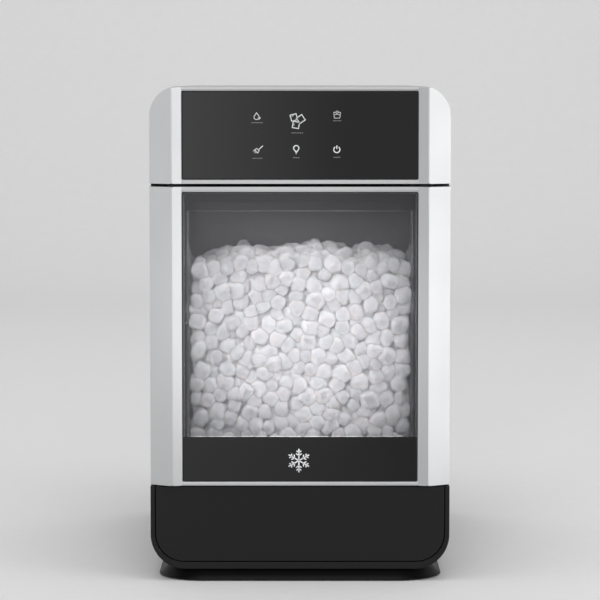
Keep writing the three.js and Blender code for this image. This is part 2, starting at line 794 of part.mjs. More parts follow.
function evaporator() {
  const [z0, z1] = EVAPORATOR_Z;
  const profile = [
    [SHAFT_RADIUS + 0.6, z0],
    [34, z0],
    [34, z0 + 3],
    [30, z0 + 3],
    [30, z1],
    [EVAPORATOR_BORE, z1],
    [EVAPORATOR_BORE, z0 + 3],
    [SHAFT_RADIUS + 0.6, z0 + 3],
    [SHAFT_RADIUS + 0.6, z0],
  ];
  return turned(profile, [AUGER.x, AUGER.y], 28);
}

/** The head that presses flakes into nuggets: a ring of passages round the shaft's top journal. */
function extruderHead() {
  const { x, y } = AUGER;
  const passages = Array.from({ length: 6 }, (_, i) => {
    const angle = (i * Math.PI) / 3;
    return rod("z", [280, 320], 4.8, [x + 18 * Math.cos(angle), y + 18 * Math.sin(angle)], 10);
  });
  return cut(
    rod("z", [EVAPORATOR_Z[1] + 0.4, 312], 29, [x, y], 28),
    rod("z", [280, 320], 8, [x, y], 20),
    ...passages,
  );
}

function augerMotor() {
  const at = [AUGER.x, PINION_Y];
  return join(
    rod("z", [58.8, 62], 15, at, 24),
    rod("z", [61.5, 112], 19, at, 28),
    rod("z", [111, 118], 11, at, 20),
    block([AUGER.x - 8, AUGER.x + 8], [PINION_Y + 15, PINION_Y + 24], [84, 102]),
  );
}

const AUGER_AT = [AUGER.x, AUGER.y];
const PINION_AT = [AUGER.x, PINION_Y];
add(cabinet, "gearbox_case", gearboxCase(), ENAMEL);
add(cabinet, "gearbox_cover", gearboxCover(), ZINC);
add(cabinet, "auger_motor", augerMotor(), ZINC);
add(cabinet, "bearing_housing", bearingHousing(), NYLON);
add(cabinet, "evaporator", evaporator(), STEEL);
add(cabinet, "evaporator_foam", ring(30.6, 43.5, [131, 284], AUGER_AT), FOAM);
add(cabinet, "extruder_head", extruderHead(), STEEL);
add(auger, "auger", augerScrew(), STEEL);
add(
  auger,
  "output_gear",
  cut(gearBlank(GEAR_TEETH, MESH_ANGLE, AUGER_AT), rod("z", [30, 50], 5.3, AUGER_AT, 20)),
  NYLON,
);
add(
  rotor,
  "motor_pinion",
  join(
    gearBlank(PINION_TEETH, -MESH_ANGLE + Math.PI / PINION_TEETH, PINION_AT),
    rod("z", [34.6, 58.4], 2.6, PINION_AT, 12),
  ),
  ZINC,
);

// ---------------------------------------------------------------- ice chute

/** Hood over the extruder and a duct forward to the compartment's ceiling. */
function iceChute() {
  const outer = [
    [-66, 349.5],
    [24, 349.5],
    [24, 313],
    [94, 313],
    [94, 374],
    [80, 390],
    [-66, 390],
  ];
  const inner = [
    [-64, 351.5],
    [26, 351.5],
    [26, 311],
    [92, 311],
    [92, 373.2],
    [79.2, 388],
    [-64, 388],
  ];
  return cut(
    sidePrism(polygon(outer), CHUTE_X),
    sidePrism(polygon(inner), [CHUTE_X[0] + 2, CHUTE_X[1] - 2]),
    block(DROP_HOLE.x, DROP_HOLE.y, [345, 355]),
  );
}

add(cabinet, "ice_chute", iceChute(), LINER_BLACK);

// ---------------------------------------------------------------- compressor and lines

function compressor() {
  const { x, y, radius, shoulder, top } = COMPRESSOR;
  const dome = (height, base, sign) =>
    [0, 1, 2, 3, 4].map((i) => {
      const a = (i * Math.PI) / 8;
      return [radius * Math.cos(a), base + sign * height * Math.sin(a)];
    });
  const profile = [
    ...dome(20, 52, -1).reverse(),
    ...dome(top - shoulder, shoulder, 1),
  ];
  profile[0][0] = 0;
  profile[profile.length - 1][0] = 0;
  return join(
    turned(profile, [x, y], 28),
    ring(radius - 3, radius + 2.5, [88, 92], [x, y], 28),
    block([x - 54, x + 54], [y - 46, y + 46], [29, 32.5]),
    block([x - 20, x + 20], [y - 59.5, y - 40], [70, 108]),
  );
}

const SUCTION_ROUTE = [
  [-4, 62, 246],
  [14, 60, 246],
  [30, 60, 232],
  [38, 63, 200],
  [42, 66, 164],
];
const DISCHARGE_ROUTE = [
  [90, 110, 164],
  [95, 117, 174],
  [106, 138, 175],
  [117, 166, 168],
  [119, 176, 176],
  [119, 176, 184.4],
];

/** The envelope of the condenser's fin pack, as one block between two end plates. */
function condenserCore() {
  const { x, y, z } = CONDENSER;
  return join(
    block([x[0] + 3, x[1] - 3], [y[0] + 1, y[1] - 1], [z[0] + 2, z[1] - 2]),
    block([x[0], x[0] + 4], y, z),
    block([x[1] - 4, x[1]], y, z),
  );
}

function fanShroud() {
  const { x, z, y, half, bore } = FAN;
  const struts = [0, 1].map((i) =>
    block([-bore - 2, bore + 2], [y[0], y[0] + 4], [-3.5, 3.5])
      .rotateY((i * Math.PI) / 2 + Math.PI / 4)
      .translate(x, 0, z),
  );
  const frame = cut(
    frontPrism(roundedRect([x - half, x + half], [z - half, z + half], 6), y),
    rod("y", [y[0] - 1, y[1] + 1], bore, [x, z], 36),
  );
  return join(frame, ...struts, rod("y", [y[0], y[0] + 6], 18, [x, z], 24));
}

/** Hub and blades, spinning about an axis along Y. */
function fanRotor() {
  const { x, z, y } = FAN;
  const blades = Array.from({ length: 7 }, (_, i) =>
    block([14, 53], [-1, 1], [-9, 9])
      .rotateX(THREE.MathUtils.degToRad(38))
      .rotateY((2 * Math.PI * i) / 7)
      .translate(x, y[0] + 15.5, z),
  );
  return join(rod("y", [y[0] + 7, y[1] - 1], 19, [x, z], 24), ...blades);
}

const fan = group();
add(cabinet, "compressor", compressor(), ENAMEL);
add(cabinet, "condenser_core", condenserCore(), STEEL);
add(cabinet, "fan_shroud", fanShroud(), BLACK_SHELL);
add(fan, "fan_rotor", fanRotor(), BLACK_SHELL);
add(cabinet, "suction_line", pipe(SUCTION_ROUTE, 3.6, 22), COPPER);
add(cabinet, "discharge_line", pipe(DISCHARGE_ROUTE, 2.8, 22), COPPER);
add(
  cabinet,
  "filter_drier",
  turned(
    [
      [0, 58],
      [3, 58],
      [3, 66],
      [9, 74],
      [9, 128],
      [3, 136],
      [3, 144],
      [0, 144],
    ],
    [-8, 152],
    16,
  ),
  COPPER,
);

// ---------------------------------------------------------------- tray, pump and power board

/** Steel floor of the machine room, with a stand under the gearbox and the compressor. */
function chassisTray() {
  const { x, y } = COMPRESSOR;
  const posts = [
    [x - 46, y - 38],
    [x + 38, y - 38],
    [x - 46, y + 38],
    [x + 38, y + 38],
    [AUGER.x - 26, 36],
    [AUGER.x + 26, 36],
    [AUGER.x - 26, 110],
    [AUGER.x + 26, 110],
  ].map((at) => rod("z", [16, 28.6], 6, at, 12));
  return join(block([-100, 100], [-8, 188], [14.6, 16.6]), ...posts);
}

function waterPump() {
  const at = [-86, 152];
  return join(
    rod("z", [17, 38], 19, at, 24),
    rod("z", [37, 62], 14, at, 20),
    rod("z", [61, 72], 3.5, [at[0] - 4, at[1]], 12),
    rod("x", [at[0], at[0] + 28], 3.5, [at[1] - 10, 27], 12),
  );
}

/** Supply board on the left wall, with its transformer and relay. */
function powerBoard() {
  return join(
    block([-127, -125.4], [14, 104], [182, 284]),
    block([-125.5, -104], [24, 54], [192, 222]),
    block([-125.5, -110], [66, 92], [196, 216]),
    block([-125.5, -114], [30, 50], [244, 262]),
  );
}

add(cabinet, "chassis_tray", chassisTray(), ZINC);
add(cabinet, "water_pump", waterPump(), GREY_PLASTIC);
add(cabinet, "power_board", powerBoard(), BOARD);

// ---------------------------------------------------------------- drain and cord gland

const drainCap = group();

function drainSpout() {
  const at = [DRAIN.x, DRAIN.z];
  return cut(
    join(rod("y", [176, 204.4], 6, at, 20), rod("y", [196.3, 198.3], 10, at, 20)),
    rod("y", [175, 206], 4, at, 20),
  );
}

function drainStopper() {
  const at = [DRAIN.x, DRAIN.z];
  return cut(
    join(rod("y", [198.7, 207], 9, at, 20), rod("y", [206.5, 209], 5, at, 16)),
    rod("y", [197, 205], 6.4, at, 20),
  );
}

function cordGland() {
  const at = [CORD.x, CORD.z];
  return cut(
    join(rod("y", [188, 200], 7, at, 20), rod("y", [196.3, 200], 10.5, at, 20)),
    rod("y", [187, 201], 4.4, at, 20),
  );
}

add(cabinet, "drain_spout", drainSpout(), GREY_PLASTIC);
add(drainCap, "drain_cap", drainStopper(), RUBBER);
add(cabinet, "cord_gland", cordGland(), RUBBER);

export default machine;
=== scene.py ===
"""Countertop nugget ice maker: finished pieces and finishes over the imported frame.

Lengths are metres in the frame's axes: +Z up, the front towards -Y, +X to the right of a person
who faces the front.
"""

from __future__ import annotations

import json
import logging
import math
from dataclasses import dataclass
from enum import Enum
from typing import Iterable, Sequence

import bmesh
import bpy
import numpy as np
from mathutils import Matrix, Vector


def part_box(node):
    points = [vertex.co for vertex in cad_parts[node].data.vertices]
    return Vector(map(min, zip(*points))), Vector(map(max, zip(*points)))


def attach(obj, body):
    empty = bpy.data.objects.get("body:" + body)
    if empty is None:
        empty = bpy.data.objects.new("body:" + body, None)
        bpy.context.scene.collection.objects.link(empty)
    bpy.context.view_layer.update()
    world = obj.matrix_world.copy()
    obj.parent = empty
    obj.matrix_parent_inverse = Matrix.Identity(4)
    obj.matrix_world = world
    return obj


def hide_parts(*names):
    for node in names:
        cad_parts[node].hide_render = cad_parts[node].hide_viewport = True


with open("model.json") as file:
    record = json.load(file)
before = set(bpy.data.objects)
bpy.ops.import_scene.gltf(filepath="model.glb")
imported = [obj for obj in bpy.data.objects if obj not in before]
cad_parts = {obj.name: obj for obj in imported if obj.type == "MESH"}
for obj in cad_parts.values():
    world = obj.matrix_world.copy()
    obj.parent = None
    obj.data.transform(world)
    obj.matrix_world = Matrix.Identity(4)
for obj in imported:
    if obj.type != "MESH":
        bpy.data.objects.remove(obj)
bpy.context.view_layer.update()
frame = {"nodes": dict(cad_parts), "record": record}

PANEL_CORNER = 0.0012  # radius of the front panels' corners
GASKET = 0.0006  # width of the gasket round the front panels
OVER = 0.001  # how far a cutter reaches past the solid that it cuts
TONE = "tone"  # attribute with each copy's own tone, from 0 to 1
LOG = logging.getLogger("ice_maker")

Span = tuple[float, float]
Point2 = tuple[float, float]
Point3 = tuple[float, float, float]
Colour = tuple[float, float, float]
Mesh = bpy.types.Mesh
Object = bpy.types.Object


# ------------------------------------------------------------------------- node trees


def fill(tree: bpy.types.NodeTree, node: bpy.types.Node, inputs: dict[str | int, object]) -> None:
    """Sets or links a node's inputs.

    Args:
        tree: the node tree.
        node: the node.
        inputs: for each input's name or number, its value or the socket that feeds it.
    """
    for key, value in inputs.items():
        if isinstance(value, bpy.types.NodeSocket):
            tree.links.new(value, node.inputs[key])
        else:
            node.inputs[key].default_value = value


def add_node(
    tree: bpy.types.NodeTree,
    kind: str,
    inputs: dict[str | int, object] | None = None,
    **settings: str,
) -> bpy.types.Node:
    """Adds a node to a tree.

    Args:
        tree: the node tree.
        kind: the node's type.
        inputs: for each input's name or number, its value or the socket that feeds it.
        settings: the node's own properties.

    Returns:
        The node.
    """
    node = tree.nodes.new(kind)
    for name, value in settings.items():
        setattr(node, name, value)
    fill(tree, node, inputs or {})
    return node


# ------------------------------------------------------------------------- finishes


@dataclass(frozen=True)
class Finish:
    """A procedural surface: one shader, with a grain that varies its colour, gloss and height."""

    name: str
    colour: Colour
    roughness: float
    metallic: float = 0.0
    grain: float = 1400.0  # noise cells per metre
    stretch: Point3 = (1.0, 1.0, 1.0)  # a small number draws the grain out along that axis
    vary: float = 0.08  # share by which the grain shifts the colour
    gloss_vary: float = 0.05
    relief: float = 0.12
    relief_depth: float = 0.00004
    clear: float = 0.0  # share of the light that passes through
    coat: float = 0.0
    specular: float = 0.5
    ior: float = 1.5
    scatter: float = 0.0
    sheen: float = 0.0

    def material(self) -> bpy.types.Material:
        """Builds the material, or hands back the one already built.

        Returns:
            The material with its node tree.
        """
        known = bpy.data.materials.get(self.name)
        if known is not None:
            return known
        made = bpy.data.materials.new(self.name)
        made.use_nodes = True
        tree = made.node_tree
        grain = self._noise(tree, self.grain, 4.0)
        smudge = self._noise(tree, 14.0, 2.0)
        relief = {"Strength": self.relief, "Distance": self.relief_depth, "Height": grain}
        bump = add_node(tree, "ShaderNodeBump", relief)
        surface = {
            "Metallic": self.metallic,
            "Transmission Weight": self.clear,
            "Coat Weight": self.coat,
            "Coat Roughness": 0.08,
            "Specular IOR Level": self.specular,
            "IOR": self.ior,
            "Subsurface Weight": self.scatter,
            "Subsurface Scale": 0.006,
            "Subsurface Radius": (0.85, 0.95, 1.0),
            "Sheen Weight": self.sheen,
            "Sheen Roughness": 0.32,
            "Base Color": self._tone(tree, grain),
            "Roughness": self._gloss(tree, grain, smudge),
            "Normal": bump.outputs["Normal"],
        }
        fill(tree, tree.nodes["Principled BSDF"], surface)
        return made

    def _noise(self, tree: bpy.types.NodeTree, cells: float, detail: float) -> bpy.types.NodeSocket:
        """Adds a noise on object coordinates.

        Args:
            tree: the material's node tree.
            cells: noise cells per metre.
            detail: octaves of the noise.

        Returns:
            The noise's value socket.
        """
        place = add_node(tree, "ShaderNodeTexCoord").outputs["Object"]
        mapping = add_node(tree, "ShaderNodeMapping", {"Vector": place, "Scale": self.stretch})
        cloud = {"Vector": mapping.outputs["Vector"], "Scale": cells, "Detail": detail}
        return add_node(tree, "ShaderNodeTexNoise", cloud).outputs["Fac"]

    def _tone(self, tree: bpy.types.NodeTree, grain: bpy.types.NodeSocket) -> bpy.types.NodeSocket:
        """Mixes a darker and a lighter tone of the colour by the grain.

        Args:
            tree: the material's node tree.
            grain: the grain's value socket.

        Returns:
            The colour socket.
        """
        darker, lighter = (
            (*(min(1.0, c * factor) for c in self.colour), 1.0)
            for factor in (1.0 - self.vary, 1.0 + self.vary)
        )
        mix = add_node(tree, "ShaderNodeMix", {0: grain, 6: darker, 7: lighter}, data_type="RGBA")
        return mix.outputs[2]

    def _gloss(
        self,
        tree: bpy.types.NodeTree,
        grain: bpy.types.NodeSocket,
        smudge: bpy.types.NodeSocket,
    ) -> bpy.types.NodeSocket:
        """Varies the roughness by the grain and by broad handling marks.

        Args:
            tree: the material's node tree.
            grain: the fine noise.
            smudge: the broad noise.

        Returns:
            The roughness socket.
        """
        both = add_node(tree, "ShaderNodeMath", {0: grain, 1: smudge}, operation="MULTIPLY")
        spread = {
            "Value": both.outputs[0],
            "From Min": 0.1,
            "From Max": 0.45,
            "To Min": max(0.0, self.roughness - self.gloss_vary),
            "To Max": min(1.0, self.roughness + self.gloss_vary),
        }
        return add_node(tree, "ShaderNodeMapRange", spread).outputs["Result"]


@dataclass(frozen=True)
class CloudyIcePaintedRim(Finish):
    """Ice whose tone also differs from nugget to nugget, with a painted highlight that lightens each
    nugget's rim.
    """

    darkest: float = 0.84  # tone of the darkest nugget, for a lightest of 1
    middle: float = 0.72  # how light a face turned to the viewer is, next to a painted rim highlight of 1
    painted_rim_facing: Span = (0.04, 0.4)  # facing values of the middle and of the rim, between which the painted rim highlight rises

    def _tone(self, tree: bpy.types.NodeTree, grain: bpy.types.NodeSocket) -> bpy.types.NodeSocket:
        """Darkens the cloudy tone by the nugget's own tone, and paints a highlight on its rim by darkening
        the faces turned to the viewer.

        Args:
            tree: the material's node tree.
            grain: the grain's value socket.

        Returns:
            The colour socket.
        """
        cloudy = super()._tone(tree, grain)
        own = add_node(tree, "ShaderNodeAttribute", attribute_name=TONE).outputs["Fac"]
        share = add_node(tree, "ShaderNodeMapRange", {"Value": own, "To Min": self.darkest})
        # Painted highlight: a facing ramp lightens the colour towards each nugget's rim, in place of the
        # light that the ice lets through there.
        slope = {
            "Value": add_node(tree, "ShaderNodeLayerWeight").outputs["Facing"],
            "From Min": self.painted_rim_facing[0],
            "From Max": self.painted_rim_facing[1],
            "To Min": self.middle,
        }
        rim = add_node(tree, "ShaderNodeMapRange", slope)
        factors = {0: share.outputs["Result"], 1: rim.outputs["Result"]}
        both = add_node(tree, "ShaderNodeMath", factors, operation="MULTIPLY")
        shade = {0: cloudy, "Scale": both.outputs[0]}
        return add_node(tree, "ShaderNodeVectorMath", shade, operation="SCALE").outputs["Vector"]


FINISHES: dict[str, Finish] = {
    "silver_wrap": Finish(
        "satin_silver_sheet", (0.48, 0.484, 0.488), 0.38, 0.7, grain=3200, vary=0.02, relief=0.02
    ),
    "silver_moulding": Finish(
        "satin_silver_moulding", (0.49, 0.494, 0.498), 0.36, 0.6, grain=3200, vary=0.02, relief=0.02
    ),
    "black_panel": Finish(
        "polished_black_panel", (0.005, 0.005, 0.0052), 0.07, gloss_vary=0.02, relief=0.01, specular=0.45
    ),
    "smoked_window": Finish(
        "smoked_window", (0.80, 0.80, 0.81), 0.0, gloss_vary=0.0, relief=0.0, clear=1.0, ior=1.45
    ),
    "black_shell": Finish(
        "grained_black_shell", (0.0062, 0.0062, 0.0064), 0.48, grain=2400, relief=0.25, specular=0.22
    ),
    "dark_base": Finish(
        "satin_dark_base", (0.0034, 0.0034, 0.0036), 0.5, grain=2000, relief=0.25, specular=0.2
    ),
    "liner_black": Finish(
        "smooth_liner", (0.019, 0.0194, 0.0202), 0.5, grain=40, vary=0.04, gloss_vary=0.01, relief=0.0
    ),
    "clear_plastic": Finish(
        "clear_moulding", (0.93, 0.95, 0.97), 0.0, gloss_vary=0.0, relief=0.0, clear=1.0, ior=1.4
    ),
    # the ice's colour carries a painted rim highlight as well as its random per-nugget tone
    "ice": CloudyIcePaintedRim(
        "cloudy_ice_painted_rim",
        (0.955, 0.94, 0.98),
        0.24,
        grain=420,
        vary=0.05,
        relief=0.2,
        scatter=0.8,
        ior=1.31,
        sheen=1.0,
    ),
    "rubber": Finish("matt_rubber", (0.016, 0.016, 0.016), 0.85, grain=1800, relief=0.35),
    "foam": Finish("rigid_foam", (0.78, 0.74, 0.62), 0.95, grain=900, vary=0.12, relief=0.8),
    "steel": Finish("turned_steel", (0.56, 0.57, 0.58), 0.26, 1.0, 1500, (1, 1, 0.05), 0.1, relief=0.15),
    "zinc": Finish("zinc_plate", (0.46, 0.47, 0.49), 0.38, 1.0, 260, vary=0.18, relief=0.1),
    "copper": Finish("drawn_copper", (0.78, 0.36, 0.2), 0.27, 1.0, 600, vary=0.16, relief=0.1),
    "enamel": Finish("black_enamel", (0.012, 0.012, 0.013), 0.3, grain=700, relief=0.25, coat=0.3),
    "board": Finish("board_lacquer", (0.025, 0.13, 0.05), 0.42, grain=800, vary=0.2, coat=0.2),
    "lamp": Finish("frosted_lamp", (0.7, 0.73, 0.77), 0.35, grain=900),
    "nylon": Finish("moulded_nylon", (0.76, 0.74, 0.67), 0.5, grain=1000, scatter=0.1),
    "grey_plastic": Finish("moulded_grey", (0.15, 0.16, 0.17), 0.48, grain=1600, relief=0.25),
}
WHITE_PRINT = Finish("white_print", (0.78, 0.79, 0.8), 0.55, grain=2500)
GREY_PRINT = Finish("grey_print", (0.2, 0.2, 0.205), 0.55, grain=2500)
ICE_HEART = Finish("ice_heart", (0.96, 0.96, 0.97), 0.3, grain=420, vary=0.08, relief=0.3)


# ------------------------------------------------------------------------- meshes


class Axis(Enum):
    """The direction that an outline is extruded or turned about."""

    X = 0
    Y = 1
    Z = 2

    def place(self, a: float, b: float, along: float) -> Vector:
        """Makes a point from two coordinates across the axis, in X, Y, Z order, and one along it.

        Args:
            a: the first coordinate across.
            b: the second coordinate across.
            along: the coordinate along the axis.

        Returns:
            The point.
        """
        if self is Axis.X:
            return Vector((along, a, b))
        if self is Axis.Y:
            return Vector((a, along, b))
        return Vector((a, b, along))


def loft(rings: Sequence[Sequence[Vector]], looped: bool = False) -> Mesh:
    """Skins rings of equal length.

    Args:
        rings: the rings, in order.
        looped: whether the last ring joins the first, in place of two end faces.

    Returns:
        A closed mesh with its faces outwards.
    """
    shape = bmesh.new()
    rows = [[shape.verts.new(point) for point in ring] for ring in rings]
    pairs = list(zip(rows, rows[1:]))
    if looped:
        pairs.append((rows[-1], rows[0]))
    for low, high in pairs:
        for i, vert in enumerate(low):
            j = (i + 1) % len(low)
            shape.faces.new((vert, low[j], high[j], high[i]))
    if not looped:
        shape.faces.new(rows[0])
        shape.faces.new(list(reversed(rows[-1])))
    return to_mesh(shape)


def to_mesh(shape: bmesh.types.BMesh) -> Mesh:
    """Merges doubles, turns the faces outwards and frees the edit mesh.

    Args:
        shape: the edit mesh.

    Returns:
        The mesh.
    """
    bmesh.ops.remove_doubles(shape, verts=shape.verts, dist=1e-7)
    bmesh.ops.recalc_face_normals(shape, faces=shape.faces)
    mesh = bpy.data.meshes.new("shape")
    shape.to_mesh(mesh)
    shape.free()
    return mesh


def merged(mesh: Mesh) -> Mesh:
    """Makes a copy of a mesh with its doubles merged and its faces outwards.

    Args:
        mesh: the mesh.

    Returns:
        The copy.
    """
    shape = bmesh.new()
    shape.from_mesh(mesh)
    return to_mesh(shape)


def prism(outline: Sequence[Point2], axis: Axis, span: Span) -> Mesh:
    """Extrudes an outline along an axis from one coordinate to another."""
    return loft([[axis.place(a, b, along) for a, b in outline] for along in span])


def grown(span: Span, by: float) -> Span:
    """Moves both ends of a range outwards, or inwards where the length is negative."""
    return (span[0] - by, span[1] + by)


def middle(span: Span) -> float:
    """Gives the middle of a range."""
    return sum(span) / 2


def block(x: Span, y: Span, z: Span) -> Mesh:
    """Makes a box between two values on each axis."""
    return prism([(x[0], y[0]), (x[1], y[0]), (x[1], y[1]), (x[0], y[1])], Axis.Z, z)


def rounded(x: Span, z: Span, lower: float, upper: float | None = None, steps: int = 14) -> list[Point2]:
    """Draws a rectangle with rounded corners.

    Args:
        x: the first coordinate's range.
        z: the second coordinate's range.
        lower: radius of the two lower corners.
        upper: radius of the two upper corners, or None for the same.
        steps: segments to each corner.

    Returns:
        The outline, anticlockwise.
    """
    top = lower if upper is None else upper
    corners = (
        (x[1] - lower, z[0] + lower, lower, -0.5),
        (x[1] - top, z[1] - top, top, 0.0),
        (x[0] + top, z[1] - top, top, 0.5),
        (x[0] + lower, z[0] + lower, lower, 1.0),
    )
    points: list[Point2] = []
    for cx, cz, radius, start in corners:
        for i in range((steps if radius > 0 else 0) + 1):
            turn = math.pi * (start + 0.5 * i / steps)
            points.append((cx + radius * math.cos(turn), cz + radius * math.sin(turn)))
    return points


def turned(profile: Sequence[Point2], axis: Axis, centre: Point2, sides: int) -> Mesh:
    """Turns a profile of (radius, height) pairs about an axis.

    Args:
        profile: the pairs, with no radius of zero.
        axis: the axis.
        centre: the axis's place in the two coordinates across it.
        sides: segments round the axis.

    Returns:
        The closed mesh, with flat ends.
    """
    turns = [2 * math.pi * i / sides for i in range(sides)]
    return loft(
        [
            [axis.place(centre[0] + r * math.cos(t), centre[1] + r * math.sin(t), h) for t in turns]
            for r, h in profile
        ]
    )


def rod(axis: Axis, span: Span, radius: float, centre: Point2, sides: int = 40) -> Mesh:
    """Makes a straight round bar."""
    return turned([(radius, span[0]), (radius, span[1])], axis, centre, sides)


def wire(points: Sequence[Vector], radius: float, sides: int) -> Mesh:
    """Sweeps a round section along a line of points.

    Args:
        points: the line.
        radius: the section's radius.
        sides: segments round the section.

    Returns:
        The closed mesh.
    """
    rings = []
    side = Vector((0, 0, 1))
    for i, point in enumerate(points):
        ahead = (points[min(i + 1, len(points) - 1)] - points[max(i - 1, 0)]).normalized()
        side = (side - ahead * side.dot(ahead)).normalized()
        if side.length < 0.5:
            side = ahead.orthogonal().normalized()
        across = ahead.cross(side)
        turns = [2 * math.pi * k / sides for k in range(sides)]
        rings.append([point + radius * (math.cos(t) * side + math.sin(t) * across) for t in turns])
    return loft(rings)


def together(meshes: Iterable[Mesh]) -> Mesh:
    """Puts separate meshes into one, as they are.

    Args:
        meshes: the separate meshes.

    Returns:
        The one mesh.
    """
    shape = bmesh.new()
    for mesh in meshes:
        shape.from_mesh(mesh)
    made = bpy.data.meshes.new("together")
    shape.to_mesh(made)
    shape.free()
    return made


def stand(name: str, data: bpy.types.ID) -> Object:
    """Makes an object of a mesh, a lamp or a camera and puts it in the scene.

    Args:
        name: the object's name.
        data: the mesh, lamp or camera.

    Returns:
        The object.
    """
    made = bpy.data.objects.new(name, data)
    bpy.context.scene.collection.objects.link(made)
    return made


def evaluated(item: Object) -> Mesh:
    """Makes a plain mesh of an object with its modifiers.

    Args:
        item: the object.

    Returns:
        The plain mesh.
    """
    bpy.context.view_layer.update()
    graph = bpy.context.evaluated_depsgraph_get()
    return bpy.data.meshes.new_from_object(item.evaluated_get(graph))


def cut(base: Mesh, tools: Sequence[Mesh]) -> Mesh:
    """Cuts tools out of a solid, one after another.

    Args:
        base: the solid.
        tools: the solids to cut away.

    Returns:
        The result as a new mesh.
    """
    target = stand("target", base)
    helpers = [stand("tool", mesh) for mesh in tools]
    for helper in helpers:
        step = target.modifiers.new("step", "BOOLEAN")
        step.operation = "DIFFERENCE"
        step.solver = "EXACT"
        step.object = helper
    made = evaluated(target)
    for item in (target, *helpers):
        bpy.data.objects.remove(item)
    return made


# ------------------------------------------------------------------------- workshop


class Pattern:
    """A Geometry Nodes tree that puts one of several shapes on every point of a mesh."""

    INPUTS = (
        ("Points", "NodeSocketGeometry"),
        ("Shapes", "NodeSocketCollection"),
        ("Last kind", "NodeSocketInt"),
        ("Smallest size", "NodeSocketFloat"),
        ("Largest size", "NodeSocketFloat"),
        ("Turn", "NodeSocketFloat"),
        ("Seed", "NodeSocketInt"),
        ("Finish", "NodeSocketMaterial"),
    )

    def __init__(self, name: str) -> None:
        """Builds the tree.

        Args:
            name: the tree's name.
        """
        self.tree = bpy.data.node_groups.new(name, "GeometryNodeTree")
        face = self.tree.interface
        self.sockets = {
            label: face.new_socket(label, in_out="INPUT", socket_type=kind).identifier
            for label, kind in self.INPUTS
        }
        face.new_socket("Pieces", in_out="OUTPUT", socket_type="NodeSocketGeometry")
        self._wire_up()

    def _random(self, given: bpy.types.Node, kind: str, low: str | None, high: str) -> bpy.types.Node:
        """Adds a random value between two inputs.

        Args:
            given: the group's input node.
            kind: the value's data type.
            low: the lowest value's input, or None for zero.
            high: the highest value's input.

        Returns:
            The random value node.
        """
        first = {"FLOAT_VECTOR": 0, "FLOAT": 2, "INT": 4}[kind]
        zero = (0, 0, 0) if kind == "FLOAT_VECTOR" else 0
        ends = {
            first: given.outputs[low] if low else zero,
            first + 1: given.outputs[high],
            "Seed": given.outputs["Seed"],
        }
        return add_node(self.tree, "FunctionNodeRandomValue", ends, data_type=kind)

    def _wire_up(self) -> None:
        """Adds and links the nodes."""
        tree = self.tree
        given = add_node(tree, "NodeGroupInput")
        fed = given.outputs
        children = {"Collection": fed["Shapes"], "Separate Children": True, "Reset Children": True}
        places = {
            "Points": fed["Points"],
            "Instance": add_node(tree, "GeometryNodeCollectionInfo", children).outputs[0],
            "Pick Instance": True,
            "Instance Index": self._random(given, "INT", None, "Last kind").outputs[2],
            "Rotation": self._random(given, "FLOAT_VECTOR", None, "Turn").outputs[0],
            "Scale": self._random(given, "FLOAT", "Smallest size", "Largest size").outputs[1],
        }
        copies = add_node(tree, "GeometryNodeInstanceOnPoints", places)
        tone = add_node(tree, "FunctionNodeRandomValue", {"Seed": fed["Seed"]})
        noted = {"Geometry": copies.outputs[0], "Name": TONE, "Value": tone.outputs[1]}
        store = add_node(tree, "GeometryNodeStoreNamedAttribute", noted, domain="INSTANCE")
        solid = add_node(tree, "GeometryNodeRealizeInstances", {0: store.outputs[0]})
        dressed = {"Geometry": solid.outputs[0], "Material": fed["Finish"]}
        dress = add_node(tree, "GeometryNodeSetMaterial", dressed)
        add_node(tree, "NodeGroupOutput", {0: dress.outputs[0]})

    def spread(
        self,
        points: Sequence[Sequence[float]],
        shapes: Sequence[Mesh],
        finish: Finish,
        sizes: Span = (1.0, 1.0),
        turn: float = 0.0,
        seed: int = 7,
    ) -> Mesh:
        """Puts the shapes on the points.

        Args:
            points: where the copies go.
            shapes: the shapes to choose from.
            finish: the copies' finish.
            sizes: smallest and largest scale.
            turn: largest turn about each axis, in radians.
            seed: seed of the choice, the turn and the size.

        Returns:
            All the copies as one plain mesh.
        """
        places = bpy.data.meshes.new("places")
        places.from_pydata([tuple(map(float, p)) for p in points], [], [])
        carrier = stand("places", places)
        store = bpy.data.collections.new("shapes")
        kinds = [bpy.data.objects.new(f"kind_{i:02d}", mesh) for i, mesh in enumerate(shapes)]
        for item in kinds:
            store.objects.link(item)
        step = carrier.modifiers.new("pattern", "NODES")
        step.node_group = self.tree
        values = {
            "Shapes": store,
            "Last kind": len(kinds) - 1,
            "Smallest size": sizes[0],
            "Largest size": sizes[1],
            "Turn": turn,
            "Seed": seed,
            "Finish": finish.material(),
        }
        for label, value in values.items():
            step[self.sockets[label]] = value
        made = evaluated(carrier)
        for item in (carrier, *kinds):
            bpy.data.objects.remove(item)
        bpy.data.collections.remove(store)
        return made


